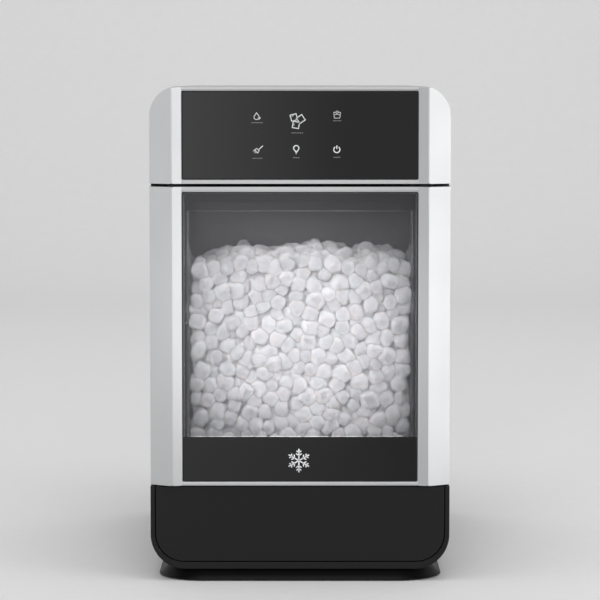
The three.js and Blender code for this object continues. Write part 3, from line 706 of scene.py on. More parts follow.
class Workshop:
    """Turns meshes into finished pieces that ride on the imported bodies."""

    def __init__(self, record: dict) -> None:
        """Notes which slot and which body each node has.

        Args:
            record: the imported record.
        """
        self.slots = {part["node"]: part["material_slot"] for part in record["subparts"]}
        groups = record["behaviour"]["bodies"]
        self.bodies = {node: body for body, nodes in groups.items() for node in nodes}
        self.pattern = Pattern("shapes_on_points")
        self.done: set[str] = set()

    def piece(
        self,
        name: str,
        mesh: Mesh,
        slot: str,
        body: str,
        soften: float,
        nodes: Sequence[str] = (),
        finish: Finish | None = None,
        segments: int = 2,
        sharp: float = 28.0,
    ) -> Object:
        """Finishes one piece: softened edges, a finish, and the body that it rides on.

        Args:
            name: the piece's name.
            mesh: its shape.
            slot: its material slot in the record.
            body: its body.
            soften: width of the rounding on its edges, or 0 for none.
            nodes: the nodes that it stands for.
            finish: its finish, or None for the slot's own.
            segments: segments across the rounding.
            sharp: least angle, in degrees, of an edge that is rounded.

        Returns:
            The finished object.
        """
        finish = finish or FINISHES[slot]
        clean = merged(mesh) if soften > 0 else mesh
        clean.polygons.foreach_set("use_smooth", [True] * len(clean.polygons))
        made = stand(name, clean)
        if soften > 0:
            self.soften(made, soften, segments, sharp)
        made.data.name = name
        made.data.materials.clear()
        made.data.materials.append(finish.material())
        made.visible_shadow = finish.clear == 0.0
        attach(made, body)
        if nodes:
            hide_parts(*nodes)
            self.done.update(nodes)
        LOG.info("%s: %d faces", name, len(made.data.polygons))
        return made

    def soften(self, made: Object, width: float, segments: int, sharp: float) -> None:
        """Rounds an object's sharp edges, and keeps its flat faces flat.

        Args:
            made: the object.
            width: width of the rounding.
            segments: segments across the rounding.
            sharp: least angle, in degrees, of an edge that is rounded.
        """
        edge = made.modifiers.new("edge", "BEVEL")
        edge.width = width
        edge.segments = segments
        edge.limit_method = "ANGLE"
        edge.angle_limit = math.radians(sharp)
        flat = made.modifiers.new("flat", "WEIGHTED_NORMAL")
        flat.mode = "FACE_AREA"
        flat.weight = 100
        plain = evaluated(made)
        made.modifiers.clear()
        made.data = plain

    def stand_in(
        self, node: str, mesh: Mesh, soften: float, segments: int = 2, sharp: float = 28.0
    ) -> Object:
        """Finishes a new shape in the place of one node.

        Args:
            node: the node.
            mesh: the new shape.
            soften: width of the rounding on its edges.
            segments: segments across the rounding.
            sharp: least angle, in degrees, of an edge that is rounded.

        Returns:
            The finished object.
        """
        slot, body = self.slots[node], self.bodies[node]
        name = f"{node}_finished"
        return self.piece(name, mesh, slot, body, soften, (node,), segments=segments, sharp=sharp)

    def refined(self, node: str, soften: float) -> Object:
        """Finishes a merged copy of a node's own shape with softened edges.

        Args:
            node: the node.
            soften: width of the rounding on its edges.

        Returns:
            The finished object.
        """
        shape = bmesh.new()
        shape.from_mesh(frame["nodes"][node].data)
        bmesh.ops.remove_doubles(shape, verts=shape.verts, dist=2e-6)
        bmesh.ops.dissolve_limit(
            shape, angle_limit=math.radians(0.8), verts=shape.verts, edges=shape.edges
        )
        return self.stand_in(node, to_mesh(shape), soften)

    def panel(self, node: str, lower: float, upper: float) -> Object:
        """Finishes a flat panel with rounded corners, set in from the gasket round it.

        Args:
            node: the panel's node.
            lower: radius of the two lower corners, or 0 where another panel joins on below.
            upper: radius of the two upper corners, or 0 where another panel joins on above.

        Returns:
            The finished object.
        """
        x, y, z = box_of(node)
        across = grown(x, -GASKET)
        up = (z[0] + (GASKET if lower else 0.0), z[1] - (GASKET if upper else 0.0))
        return self.stand_in(node, prism(rounded(across, up, lower, upper), Axis.Y, y), 0.0003)

    def gasket(self, name: str, panels: Sequence[str], body: str) -> Object:
        """Makes the thin black gasket round one panel, or round two that join.

        Args:
            name: the gasket's name.
            panels: the panels' nodes.
            body: the body that it rides on.

        Returns:
            The finished object.
        """
        x, y, _ = box_of(panels[0])
        boxes = [box_of(panel)[2] for panel in panels]
        z = (min(b[0] for b in boxes), max(b[1] for b in boxes))
        set_back = 0.0004
        span = (y[0] + set_back, y[1])
        outer = prism(rounded(x, z, PANEL_CORNER), Axis.Y, span)
        hole = rounded(grown(x, -GASKET), grown(z, -GASKET), PANEL_CORNER)
        mesh = cut(outer, [prism(hole, Axis.Y, grown(span, OVER))])
        return self.piece(name, mesh, "rubber", body, 0.0)

    def rest(self) -> None:
        """Refines every node that no piece stands for yet."""
        for node in sorted(set(self.slots) - self.done):
            self.refined(node, 0.0003)


def box_of(node: str) -> tuple[Span, Span, Span]:
    """Gives a node's range on each axis."""
    low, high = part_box(node)
    return tuple((low[i], high[i]) for i in range(3))


# ------------------------------------------------------------------------- cabinet


@dataclass
class Moulding:
    """A silver front moulding: an outer and an inner slope on each side of a ridge."""

    node: str
    panels: tuple[str, ...]
    top_radius: float = 0.0
    ridge_x: float = 0.1132
    apex: float = 0.00028  # how far before the flat ridge the two slopes would meet
    shoulder: float = 0.011  # depth of the outer slope
    seat: float = 0.004  # depth of the inner slope, down to the level of the bars
    bar_slope: Point2 = (0.0013, 0.0005)  # height and depth of a bar's slope next to a panel
    edge: float = 0.0008  # height of the slope along a horizontal edge
    edge_depth: float = 0.0008
    top_edge: float = 0.0008
    top_depth: float | None = None  # depth of the slope along the upper edge, if it differs
    clearance: float = 0.00035  # between a panel's edges and the recess
    back_clearance: float = 0.0003
    corner: float = 0.0015  # radius of the recess's corners
    rim: float = 0.0015  # width of the ledge behind the panels
    steps: int = 20
    worn: float = 0.00022  # width of the rounding on the edges
    worn_angle: float = 15.0  # least angle, in degrees, of an edge that is rounded

    def outline(self) -> list[Point2]:
        """Draws the moulding as seen from the front."""
        x, _, z = box_of(self.node)
        return rounded(x, z, 0.0, self.top_radius, self.steps)

    def recess(self) -> tuple[Span, Span]:
        """Gives the recess's range across and up, round the panels that lie in it.

        Returns:
            The range across and the range up.
        """
        boxes = [box_of(panel) for panel in self.panels]
        z = (min(b[2][0] for b in boxes), max(b[2][1] for b in boxes))
        return grown(boxes[0][0], self.clearance), grown(z, self.clearance)

    def side_cutters(self) -> list[Mesh]:
        """Makes the wedges that leave the outer slopes.

        Returns:
            The wedges.
        """
        x, y, z = box_of(self.node)
        rise = (self.shoulder + self.apex) / (x[1] - self.ridge_x)
        over, ahead = 0.003, 0.01
        cutters = []
        for side in (-1, 1):
            near = (self.ridge_x - over, y[0] - self.apex - over * rise)
            far = (x[1] + over, y[0] + self.shoulder + over * rise)
            wedge = [near, far, (far[0], y[0] - ahead), (near[0], y[0] - ahead)]
            outline = [(side * a, b) for a, b in wedge]
            cutters.append(prism(outline, Axis.Z, grown(z, 2 * OVER)))
        return cutters

    def edge_cutters(self) -> list[Mesh]:
        """Makes the wedges that leave the slopes along the lower and the upper edge.

        Returns:
            The wedges.
        """
        x, y, z = box_of(self.node)
        over, ahead = 0.002, 0.05
        cutters = []
        top_depth = self.top_depth or self.edge_depth
        for edge_z, away, rise, depth in (
            (z[0], -1, self.edge, self.edge_depth),
            (z[1], 1, self.top_edge, top_depth),
        ):
            lean = depth / rise
            ridge_z = edge_z - away * rise
            wedge = [
                (y[0] - over * lean, ridge_z - away * over),
                (y[0] + depth + over * lean, edge_z + away * over),
                (y[0] - ahead, edge_z + away * over),
                (y[0] - ahead, ridge_z - away * over),
            ]
            cutters.append(prism(wedge, Axis.X, grown(x, over)))
        return cutters

    def recess_cutters(self) -> list[Mesh]:
        """Makes the trough between the ridges, the panels' seat in it, and the hollow behind.

        Returns:
            The cutters.
        """
        _, y, z = box_of(self.node)
        across, up = self.recess()
        (x0, x1), (z0, z1) = across, up
        seat_y = y[0] + self.seat
        apex_y = y[0] - self.apex
        back_y = box_of(self.panels[0])[1][1] + self.back_clearance
        mouth = self.ridge_x + OVER * (self.ridge_x - x1) / (seat_y - apex_y)
        trough = [(x0, seat_y), (x1, seat_y), (mouth, apex_y - OVER), (-mouth, apex_y - OVER)]
        height, depth = self.bar_slope
        bars = [
            (seat_y + depth, z0),
            (seat_y + depth, z1),
            (seat_y - depth, z1 + 2 * height),
            (seat_y - depth, z0 - 2 * height),
        ]
        lap = 0.0001  # how far the seat's cutter reaches into the trough's
        return [
            prism(trough, Axis.Z, grown(z, OVER)),
            prism(bars, Axis.X, across),
            prism(rounded(across, up, self.corner), Axis.Y, (seat_y - lap, back_y)),
            block(grown(across, -self.rim), grown((back_y, y[1]), OVER), grown(up, -self.rim)),
        ]

    def build(self, shop: Workshop, extra: Sequence[Mesh] = ()) -> None:
        """Makes the moulding.

        Args:
            shop: the workshop.
            extra: more cutters.
        """
        _, y, _ = box_of(self.node)
        cutters = [*self.side_cutters(), *self.edge_cutters(), *self.recess_cutters(), *extra]
        mesh = cut(prism(self.outline(), Axis.Y, y), cutters)
        shop.stand_in(self.node, mesh, self.worn, sharp=self.worn_angle)


@dataclass
class Base:
    """The plinth, the lower tub and its fascia."""

    wall: float = 0.003
    radius: float = 0.031
    rim: float = 0.0039
    rim_floor: float = 0.0062
    rim_radius: float = 0.026
    tub_front: float = 0.006  # thickness of the tub's front behind the fascia's seat
    seat_depth: float = 0.007
    fascia_radius: float = 0.0253
    plinth_head: Point2 = (0.1185, 0.034)  # half width and corner radius at the top
    plinth_foot_radius: float = 0.040
    plinth_inset: float = 0.009  # how far its top lies inside its foot, front and back
    plinth_levels: tuple[float, ...] = (0.0, 0.12, 0.35, 0.65, 1.0)  # shares of its height
    plinth_flare: float = 0.8  # power of the curve that its sides follow
    feet: tuple[str, ...] = ("foot_front_left", "foot_front_right", "foot_rear_left", "foot_rear_right")
    socket_radius: float = 0.0094
    vent_first: float = 0.052
    vent_pitch: float = 0.009
    vent_count: int = 11
    vent_width: float = 0.0035
    vent_radius: float = 0.0017
    vent_z: Span = (0.040, 0.072)

    def build(self, shop: Workshop) -> None:
        """Makes the three pieces and the feet.

        Args:
            shop: the workshop that finishes the pieces.
        """
        self.plinth(shop)
        self.tub(shop)
        x, y, z = box_of("base_fascia")
        face = prism(rounded(x, z, self.fascia_radius, 0.0), Axis.Y, y)
        shop.stand_in("base_fascia", face, 0.0006, 3)
        for foot in self.feet:
            shop.refined(foot, 0.0006)

    def plinth(self, shop: Workshop) -> None:
        """Makes the flared plinth, with a rounded lower edge and a socket for each foot.

        Args:
            shop: the workshop that finishes the pieces.
        """
        x, y, z = box_of("plinth")
        half, radius = self.plinth_head
        rings = []
        for part in self.plinth_levels:
            ease = part**self.plinth_flare
            reach = x[1] + (half - x[1]) * ease
            front = y[0] + self.plinth_inset * ease
            back = y[1] - self.plinth_inset * ease
            corner = self.plinth_foot_radius + (radius - self.plinth_foot_radius) * ease
            outline = rounded((-reach, reach), (front, back), corner)
            rings.append([Vector((a, b, z[0] + (z[1] - z[0]) * part)) for a, b in outline])
        sockets = []
        play = 0.0003
        for foot in map(box_of, self.feet):
            centre = (middle(foot[0]), middle(foot[1]))
            sockets.append(rod(Axis.Z, (-OVER, foot[2][1] + play), self.socket_radius, centre))
        shop.stand_in("plinth", cut(loft(rings), [together(sockets)]), 0.0005)

    def tub(self, shop: Workshop) -> None:
        """Makes the U-shaped tub with a rim round the fascia and air slots at the back.

        Args:
            shop: the workshop that finishes the pieces.
        """
        x, y, z = box_of("lower_tub")
        hollow_z = (z[0] + self.wall, z[1] + OVER)
        hollow = rounded(grown(x, -self.wall), hollow_z, self.radius - self.wall, 0.0)
        seat_z = (z[0] + self.rim_floor, z[1] + OVER)
        seat = rounded(grown(x, -self.rim), seat_z, self.rim_radius, 0.0)
        slots = []
        for i in range(self.vent_count):
            at = self.vent_first + i * self.vent_pitch
            slot = rounded((at, at + self.vent_width), self.vent_z, self.vent_radius, steps=4)
            for side in x:
                slots.append(prism(slot, Axis.X, grown((side, side), 2 * self.wall)))
        mesh = cut(
            prism(rounded(x, z, self.radius, 0.0, 20), Axis.Y, y),
            [
                prism(hollow, Axis.Y, (y[0] + self.tub_front, y[1] + OVER)),
                prism(seat, Axis.Y, (y[0] - OVER, y[0] + self.seat_depth)),
                together(slots),
            ],
        )
        shop.stand_in("lower_tub", mesh, 0.0005)


@dataclass
class Shell:
    """The silver wrap with its fill lid, and the rear panel with its louvres and screws."""

    wall: float = 0.0018
    radius: float = 0.0265
    panel_radii: Point2 = (0.0285, 0.0255)  # of the rear panel's lower and upper corners
    notch_radius: float = 0.011
    lid_margin: float = 0.0008
    lid_back: float = 0.182
    slot_first: float = 0.196
    slot_pitch: float = 0.009
    slot_rows: int = 14
    slot_columns: tuple[float, float] = (0.002, 0.063)
    slot_length: float = 0.054
    slot_height: float = 0.0035
    slot_radius: float = 0.0016
    hood_depth: float = 0.0021
    hood_height: float = 0.0034
    hood_wall: float = 0.0007
    hood_rise: float = 0.0012  # how far a hood reaches above its slot
    hole_radius: float = 0.0074
    screw_radius: float = 0.0036
    recess_reach: float = 0.0019
    recess_half_width: float = 0.00035
    recess_depth: Span = (0.0009, 0.003)
    screw_places: tuple[Point2, ...] = (
        (-0.118, 0.062),
        (0.118, 0.062),
        (-0.12, 0.170),
        (0.122, 0.170),
        (-0.12, 0.290),
        (0.122, 0.345),
        (-0.11, 0.418),
        (0.0, 0.424),
        (0.11, 0.418),
        (0.0, 0.028),
    )

    def build(self, shop: Workshop) -> None:
        """Makes the shell's pieces.

        Args:
            shop: the workshop that finishes the pieces.
        """
        self.wrap(shop)
        self.panel(shop)
        self.louvres(shop)
        self.screws(shop)
        shop.refined("fill_lid", 0.0004)
        shop.refined("rear_spacer_left", 0.0012)
        shop.refined("rear_spacer_right", 0.0012)

    def wrap(self, shop: Workshop) -> None:
        """Makes the inverted U with the lid's opening and its finger notch.

        Args:
            shop: the workshop that finishes the pieces.
        """
        x, y, z = box_of("upper_wrap")
        lid = box_of("fill_lid")
        inner_z = (z[0] - OVER, z[1] - self.wall)
        inner = rounded(grown(x, -self.wall), inner_z, 0.0, self.radius - self.wall, 20)
        opening_x = grown(lid[0], self.lid_margin)
        opening_y = (lid[1][0] - self.lid_margin, self.lid_back)
        through = grown((z[1], z[1]), 0.01)
        mesh = cut(
            prism(rounded(x, z, 0.0, self.radius, 20), Axis.Y, y),
            [
                prism(inner, Axis.Y, grown(y, OVER)),
                block(opening_x, opening_y, through),
                rod(Axis.Z, through, self.notch_radius, (0.0, opening_y[0])),
            ],
        )
        shop.stand_in("upper_wrap", mesh, 0.0004)

    def slot_places(self) -> list[Point2]:
        """Gives the lower left corner of every air slot, across and up."""
        rows = range(self.slot_rows)
        return [(x, self.slot_first + row * self.slot_pitch) for row in rows for x in self.slot_columns]

    def panel(self, shop: Workshop) -> None:
        """Makes the rear panel with its slots and holes.

        Args:
            shop: the workshop that finishes the pieces.
        """
        x, y, z = box_of("rear_panel")
        through = grown(y, 0.004)
        openings = []
        for a, b in self.slot_places():
            reach = (a, a + self.slot_length)
            slot = rounded(reach, (b, b + self.slot_height), self.slot_radius, steps=4)
            openings.append(prism(slot, Axis.Y, through))
        for node in ("drain_spout", "cord_gland"):
            part = box_of(node)
            centre = (middle(part[0]), middle(part[2]))
            openings.append(rod(Axis.Y, through, self.hole_radius, centre))
        sheet = prism(rounded(x, z, *self.panel_radii, 18), Axis.Y, y)
        mesh = cut(sheet, [together(openings)])
        shop.stand_in("rear_panel", mesh, 0.0003)

    def louvres(self, shop: Workshop) -> None:
        """Puts a curved hood over every air slot.

        Args:
            shop: the workshop that finishes the pieces.
        """
        wall = self.hood_wall
        outer, inner = [], []
        for i in range(6):
            turn = math.pi / 2 * i / 5
            drop = self.hood_height * (math.cos(turn) - 1)
            outer.append((self.hood_depth * math.sin(turn), drop))
            inner.append(((self.hood_depth - wall) * math.sin(turn), drop - wall * math.cos(turn)))
        hood = prism([*outer, *reversed(inner)], Axis.X, (0.0, self.slot_length))
        sunk = 0.0002
        back = box_of("rear_panel")[1][1] - sunk
        top = self.slot_height + self.hood_rise
        places = [(a, back, b + top) for a, b in self.slot_places()]
        mesh = shop.pattern.spread(places, [hood], FINISHES["black_shell"])
        shop.piece("louvre_hoods", mesh, "black_shell", "cabinet", 0.0)

    def screws(self, shop: Workshop) -> None:
        """Puts pan-head screws with cross recesses on the rear panel.

        Args:
            shop: the workshop that finishes the pieces.
        """
        r = self.screw_radius
        profile = [(r, 0.0), (r, 0.0006), (r * 0.93, 0.0012), (r * 0.72, 0.0017), (r * 0.4, 0.002)]
        head = turned(profile, Axis.Y, (0.0, 0.0), 24)
        arm = (-self.recess_reach, self.recess_reach)
        slit = (-self.recess_half_width, self.recess_half_width)
        cross = [block(arm, self.recess_depth, slit), block(slit, self.recess_depth, arm)]
        screw = cut(head, cross)
        back = box_of("rear_panel")[1][1]
        places = [(a, back, b) for a, b in self.screw_places]
        mesh = shop.pattern.spread(places, [screw], FINISHES["zinc"])
        shop.piece("rear_screws", mesh, "zinc", "cabinet", 0.0)


# ------------------------------------------------------------------------- touch symbols


@dataclass
class Stroke:
    """One drawn line, in millimetres from a symbol's centre."""

    points: list[Point2]
    looped: bool = False
    width: float = 0.46


def arc(cx: float, cz: float, radius: float, start: float, stop: float, steps: int) -> list[Point2]:
    """Draws an arc between two angles in degrees."""
    turns = [math.radians(start + (stop - start) * i / steps) for i in range(steps + 1)]
    return [(cx + radius * math.cos(t), cz + radius * math.sin(t)) for t in turns]


def square(cx: float, cz: float, side: float, turn: float) -> Stroke:
    """Draws a square turned by an angle in degrees.

    Args:
        cx: the square's middle across.
        cz: its middle up.
        side: length of a side.
        turn: the angle in degrees.

    Returns:
        The closed line.
    """
    reach = side / math.sqrt(2)
    corners = [math.radians(turn + 45 + 90 * i) for i in range(4)]
    return Stroke([(cx + reach * math.cos(t), cz + reach * math.sin(t)) for t in corners], True)


class Symbol(Enum):
    """The touch controls' plain symbols."""

    WATER = "water"
    ICE = "ice"
    FULL = "full"
    CLEAN = "clean"
    LAMP = "lamp"
    POWER = "power"

    def strokes(self) -> list[Stroke]:
        """Draws the symbol, in millimetres.

        Returns:
            The symbol's lines.
        """
        if self is Symbol.WATER:
            drop = [(-0.4, 3.1), *arc(-0.4, -0.7, 2.2, 38, -218, 26)]
            return [Stroke(drop, True, 0.6), square(2.0, -1.5, 1.5, 45), square(2.0, -1.5, 0.6, 45)]
        if self is Symbol.ICE:
            cubes = [square(-2.9, 3.0, 5.4, 15), square(3.2, 1.6, 5.7, 34), square(-1.1, -3.6, 5.6, -9)]
            shine = [Stroke([(-4.7, 4.1), (-3.0, 4.6)]), Stroke([(-2.9, -2.5), (-2.8, -4.4)])]
            return [*(Stroke(cube.points, True, 0.8) for cube in cubes), *shine]
        if self is Symbol.FULL:
            tub = Stroke([(-2.9, -0.2), (-2.3, -3.1), (2.3, -3.1), (2.9, -0.2)])
            return [tub, square(-1.7, 1.0, 2.2, 12), square(1.7, 1.0, 2.2, -14), square(0.1, 2.0, 1.9, 45)]
        if self is Symbol.CLEAN:
            handle = Stroke([(4.9, 3.7), (0.9, 0.0)], False, 0.8)
            head = Stroke([(1.6, -0.8), (-0.5, 1.3), (-2.4, 0.1), (0.3, -2.7)], True, 0.6)
            roots = ((-2.3, 0.0), (-1.4, -1.0), (-0.5, -1.9))
            return [handle, head, *(Stroke([(a, b), (a - 1.7, b - 0.9)]) for a, b in roots)]
        if self is Symbol.LAMP:
            glass = Stroke([(-0.8, -1.9), *arc(0.0, 1.0, 2.3, 236, -56, 26), (0.8, -1.9)], True, 0.95)
            cap = Stroke([(-0.8, -2.9), (0.8, -2.9)], False, 0.7)
            return [glass, cap, Stroke([(-0.5, -3.8), (0.5, -3.8)], False, 0.6)]
        ring = Stroke(arc(0.0, -0.2, 2.7, 122, 418, 34), False, 0.95)
        return [ring, Stroke([(0.0, 3.5), (0.0, 0.1)], False, 0.95)]


@dataclass
class Print:
    """Thin marks on the front of a panel."""

    panel: str
    thick: float = 0.00005
    sunk: float = 0.2  # share of the thickness that lies in the panel

    def mark(self, stroke: Stroke, centre: Point2) -> Mesh:
        """Makes one line of print.

        Args:
            stroke: the line.
            centre: the symbol's centre, across and up, in metres.

        Returns:
            The closed mesh.
        """
        front = box_of(self.panel)[1][0]
        points = [Vector(p) for p in stroke.points]
        count = len(points)
        rings = []
        for i, point in enumerate(points):
            before = points[(i - 1) % count] if stroke.looped or i else point
            after = points[(i + 1) % count] if stroke.looped or i < count - 1 else point
            into = (point - before).normalized()
            out = (after - point).normalized()
            ahead = (into + out).normalized()
            stretch = 1.0 / max(0.5, ahead.dot(out if out.length else into))
            across = Vector((-ahead.y, ahead.x)) * stroke.width / 2 * stretch
            ring = []
            for side, level in ((1, -1), (1, self.sunk), (-1, self.sunk), (-1, -1)):
                at = (point + side * across) / 1000
                ring.append(Vector((centre[0] + at.x, front + level * self.thick, centre[1] + at.y)))
            rings.append(ring)
        return loft(rings, stroke.looped)

    def marks(self, strokes: Iterable[Stroke], centre: Point2) -> Mesh:
        """Makes several lines of print as one mesh."""
        return together([self.mark(stroke, centre) for stroke in strokes])


@dataclass
class Head:
    """The moulding, glass and symbols of the touch head."""

    symbols: tuple[tuple[Symbol, Point2, float, float], ...] = (
        (Symbol.WATER, (-0.0378, 0.4135), 0.0056, 10.0),
        (Symbol.ICE, (-0.0025, 0.4095), 0.0106, 10.4),
        (Symbol.FULL, (0.0326, 0.4150), 0.0054, 7.0),
        (Symbol.CLEAN, (-0.0375, 0.3840), 0.0074, 8.8),
        (Symbol.LAMP, (-0.0033, 0.3845), 0.0074, 5.6),
        (Symbol.POWER, (0.0324, 0.3845), 0.0070, 6.0),
    )  # each with its centre, its caption's drop below, and the caption's width in millimetres
    dash: float = 1.5
    dash_gap: float = 0.4
    dash_width: float = 0.75
    trim_length: float = 0.014
    trim_over: float = 0.002
    trim_play: float = 0.00005
    trim_inset: float = 0.0001

    def build(self, shop: Workshop) -> None:
        """Makes the head's pieces.

        Args:
            shop: the workshop that finishes the pieces.
        """
        silver = Moulding("head_frame", ("control_glass",), 0.0265, top_edge=0.0014, top_depth=0.011)
        silver.build(shop)
        shop.panel("control_glass", PANEL_CORNER, PANEL_CORNER)
        shop.gasket("head_gasket", ("control_glass",), "cabinet")
        ink = Print("control_glass")
        drawn = [ink.marks(symbol.strokes(), place) for symbol, place, _, _ in self.symbols]
        below = [
            ink.marks(self.caption(width), (place[0], place[1] - drop))
            for _, place, drop, width in self.symbols
        ]
        shop.piece("touch_symbols", together(drawn), "black_panel", "cabinet", 0.0, finish=WHITE_PRINT)
        self.gap_trims(shop)
        shop.piece("symbol_captions", together(below), "black_panel", "cabinet", 0.0, finish=GREY_PRINT)

    def gap_trims(self, shop: Workshop) -> None:
        """Makes the dark trims that close both ends of the gap over the drawer from behind.

        Args:
            shop: the workshop that finishes the pieces.
        """
        x, head_y, head_z = box_of("head_frame")
        behind = (head_y[1] + self.trim_play, box_of("upper_wrap")[1][0] - self.trim_play)
        up = (box_of("drawer_frame")[2][1] - self.trim_over, head_z[0] + self.trim_over)
        reach = (x[1] - self.trim_length, x[1] - self.trim_inset)
        ends = [block(reach, behind, up), block((-reach[1], -reach[0]), behind, up)]
        shop.piece("gap_trims", together(ends), "rubber", "cabinet", 0.0)

    def caption(self, width: float) -> list[Stroke]:
        """Draws a row of plain dashes in the place of a caption.

        Args:
            width: the caption's width in millimetres.

        Returns:
            The dashes.
        """
        count = max(2, round((width + self.dash_gap) / (self.dash + self.dash_gap)))
        length = (width + self.dash_gap) / count - self.dash_gap
        starts = [-width / 2 + i * (length + self.dash_gap) for i in range(count)]
        return [Stroke([(a, 0.0), (a + length, 0.0)], width=self.dash_width) for a in starts]


# ------------------------------------------------------------------------- drawer


@dataclass
class DrawerFront:
    """The drawer's moulding, window, band and snowflake mark."""

    grip_x: float = 0.122
    grip_y: Span = (-0.190, -0.170)
    grip_z: Span = (0.175, 0.265)
    pocket_x: Span = (0.1064, 0.119)
    pocket_y: Span = (-0.196, -0.170)
    pocket_z: Span = (0.095, 0.345)
    flake_centre: Point2 = (-0.001, 0.1085)
    flake_reach: float = 10.5
    flake_width: float = 1.15
    branches: tuple[Point2, ...] = ((0.42, 0.24), (0.68, 0.2))  # root and reach, for an arm of 1

    def build(self, shop: Workshop) -> None:
        """Makes the front's pieces.

        Args:
            shop: the workshop that finishes the pieces.
        """
        x, _, _ = box_of("drawer_frame")
        extra = []
        for side in (-1, 1):
            for span, y, z in (
                (self.pocket_x, self.pocket_y, self.pocket_z),
                ((self.grip_x, x[1] + OVER), self.grip_y, self.grip_z),
            ):
                across = tuple(sorted((side * span[0], side * span[1])))
                extra.append(block(across, y, z))
        Moulding("drawer_frame", ("window_pane", "lower_band")).build(shop, extra)
        shop.panel("window_pane", 0.0, PANEL_CORNER)
        shop.panel("lower_band", PANEL_CORNER, 0.0)
        shop.gasket("window_gasket", ("window_pane", "lower_band"), "drawer")
        mark = Print("lower_band").marks(self.snowflake(), self.flake_centre)
        shop.piece("snowflake_mark", mark, "black_panel", "drawer", 0.0, finish=WHITE_PRINT)

    def snowflake(self) -> list[Stroke]:
        """Draws a plain six-armed snowflake.

        Returns:
            The snowflake's lines.
        """
        strokes = []
        for arm in range(6):
            turn = Matrix.Rotation(math.radians(30 + 60 * arm), 2)

            def at(along: float, aside: float = 0.0) -> Point2:
                """Turns a point on the arm into place."""
                return tuple(turn @ Vector((along * self.flake_reach, aside * self.flake_reach)))

            strokes.append(Stroke([at(0.04), at(1.0)], width=self.flake_width))
            for root, reach in self.branches:
                for side in (-1, 1):
                    tip = at(root + reach * 0.75, side * reach)
                    strokes.append(Stroke([at(root), tip], width=self.flake_width * 0.85))
        return strokes


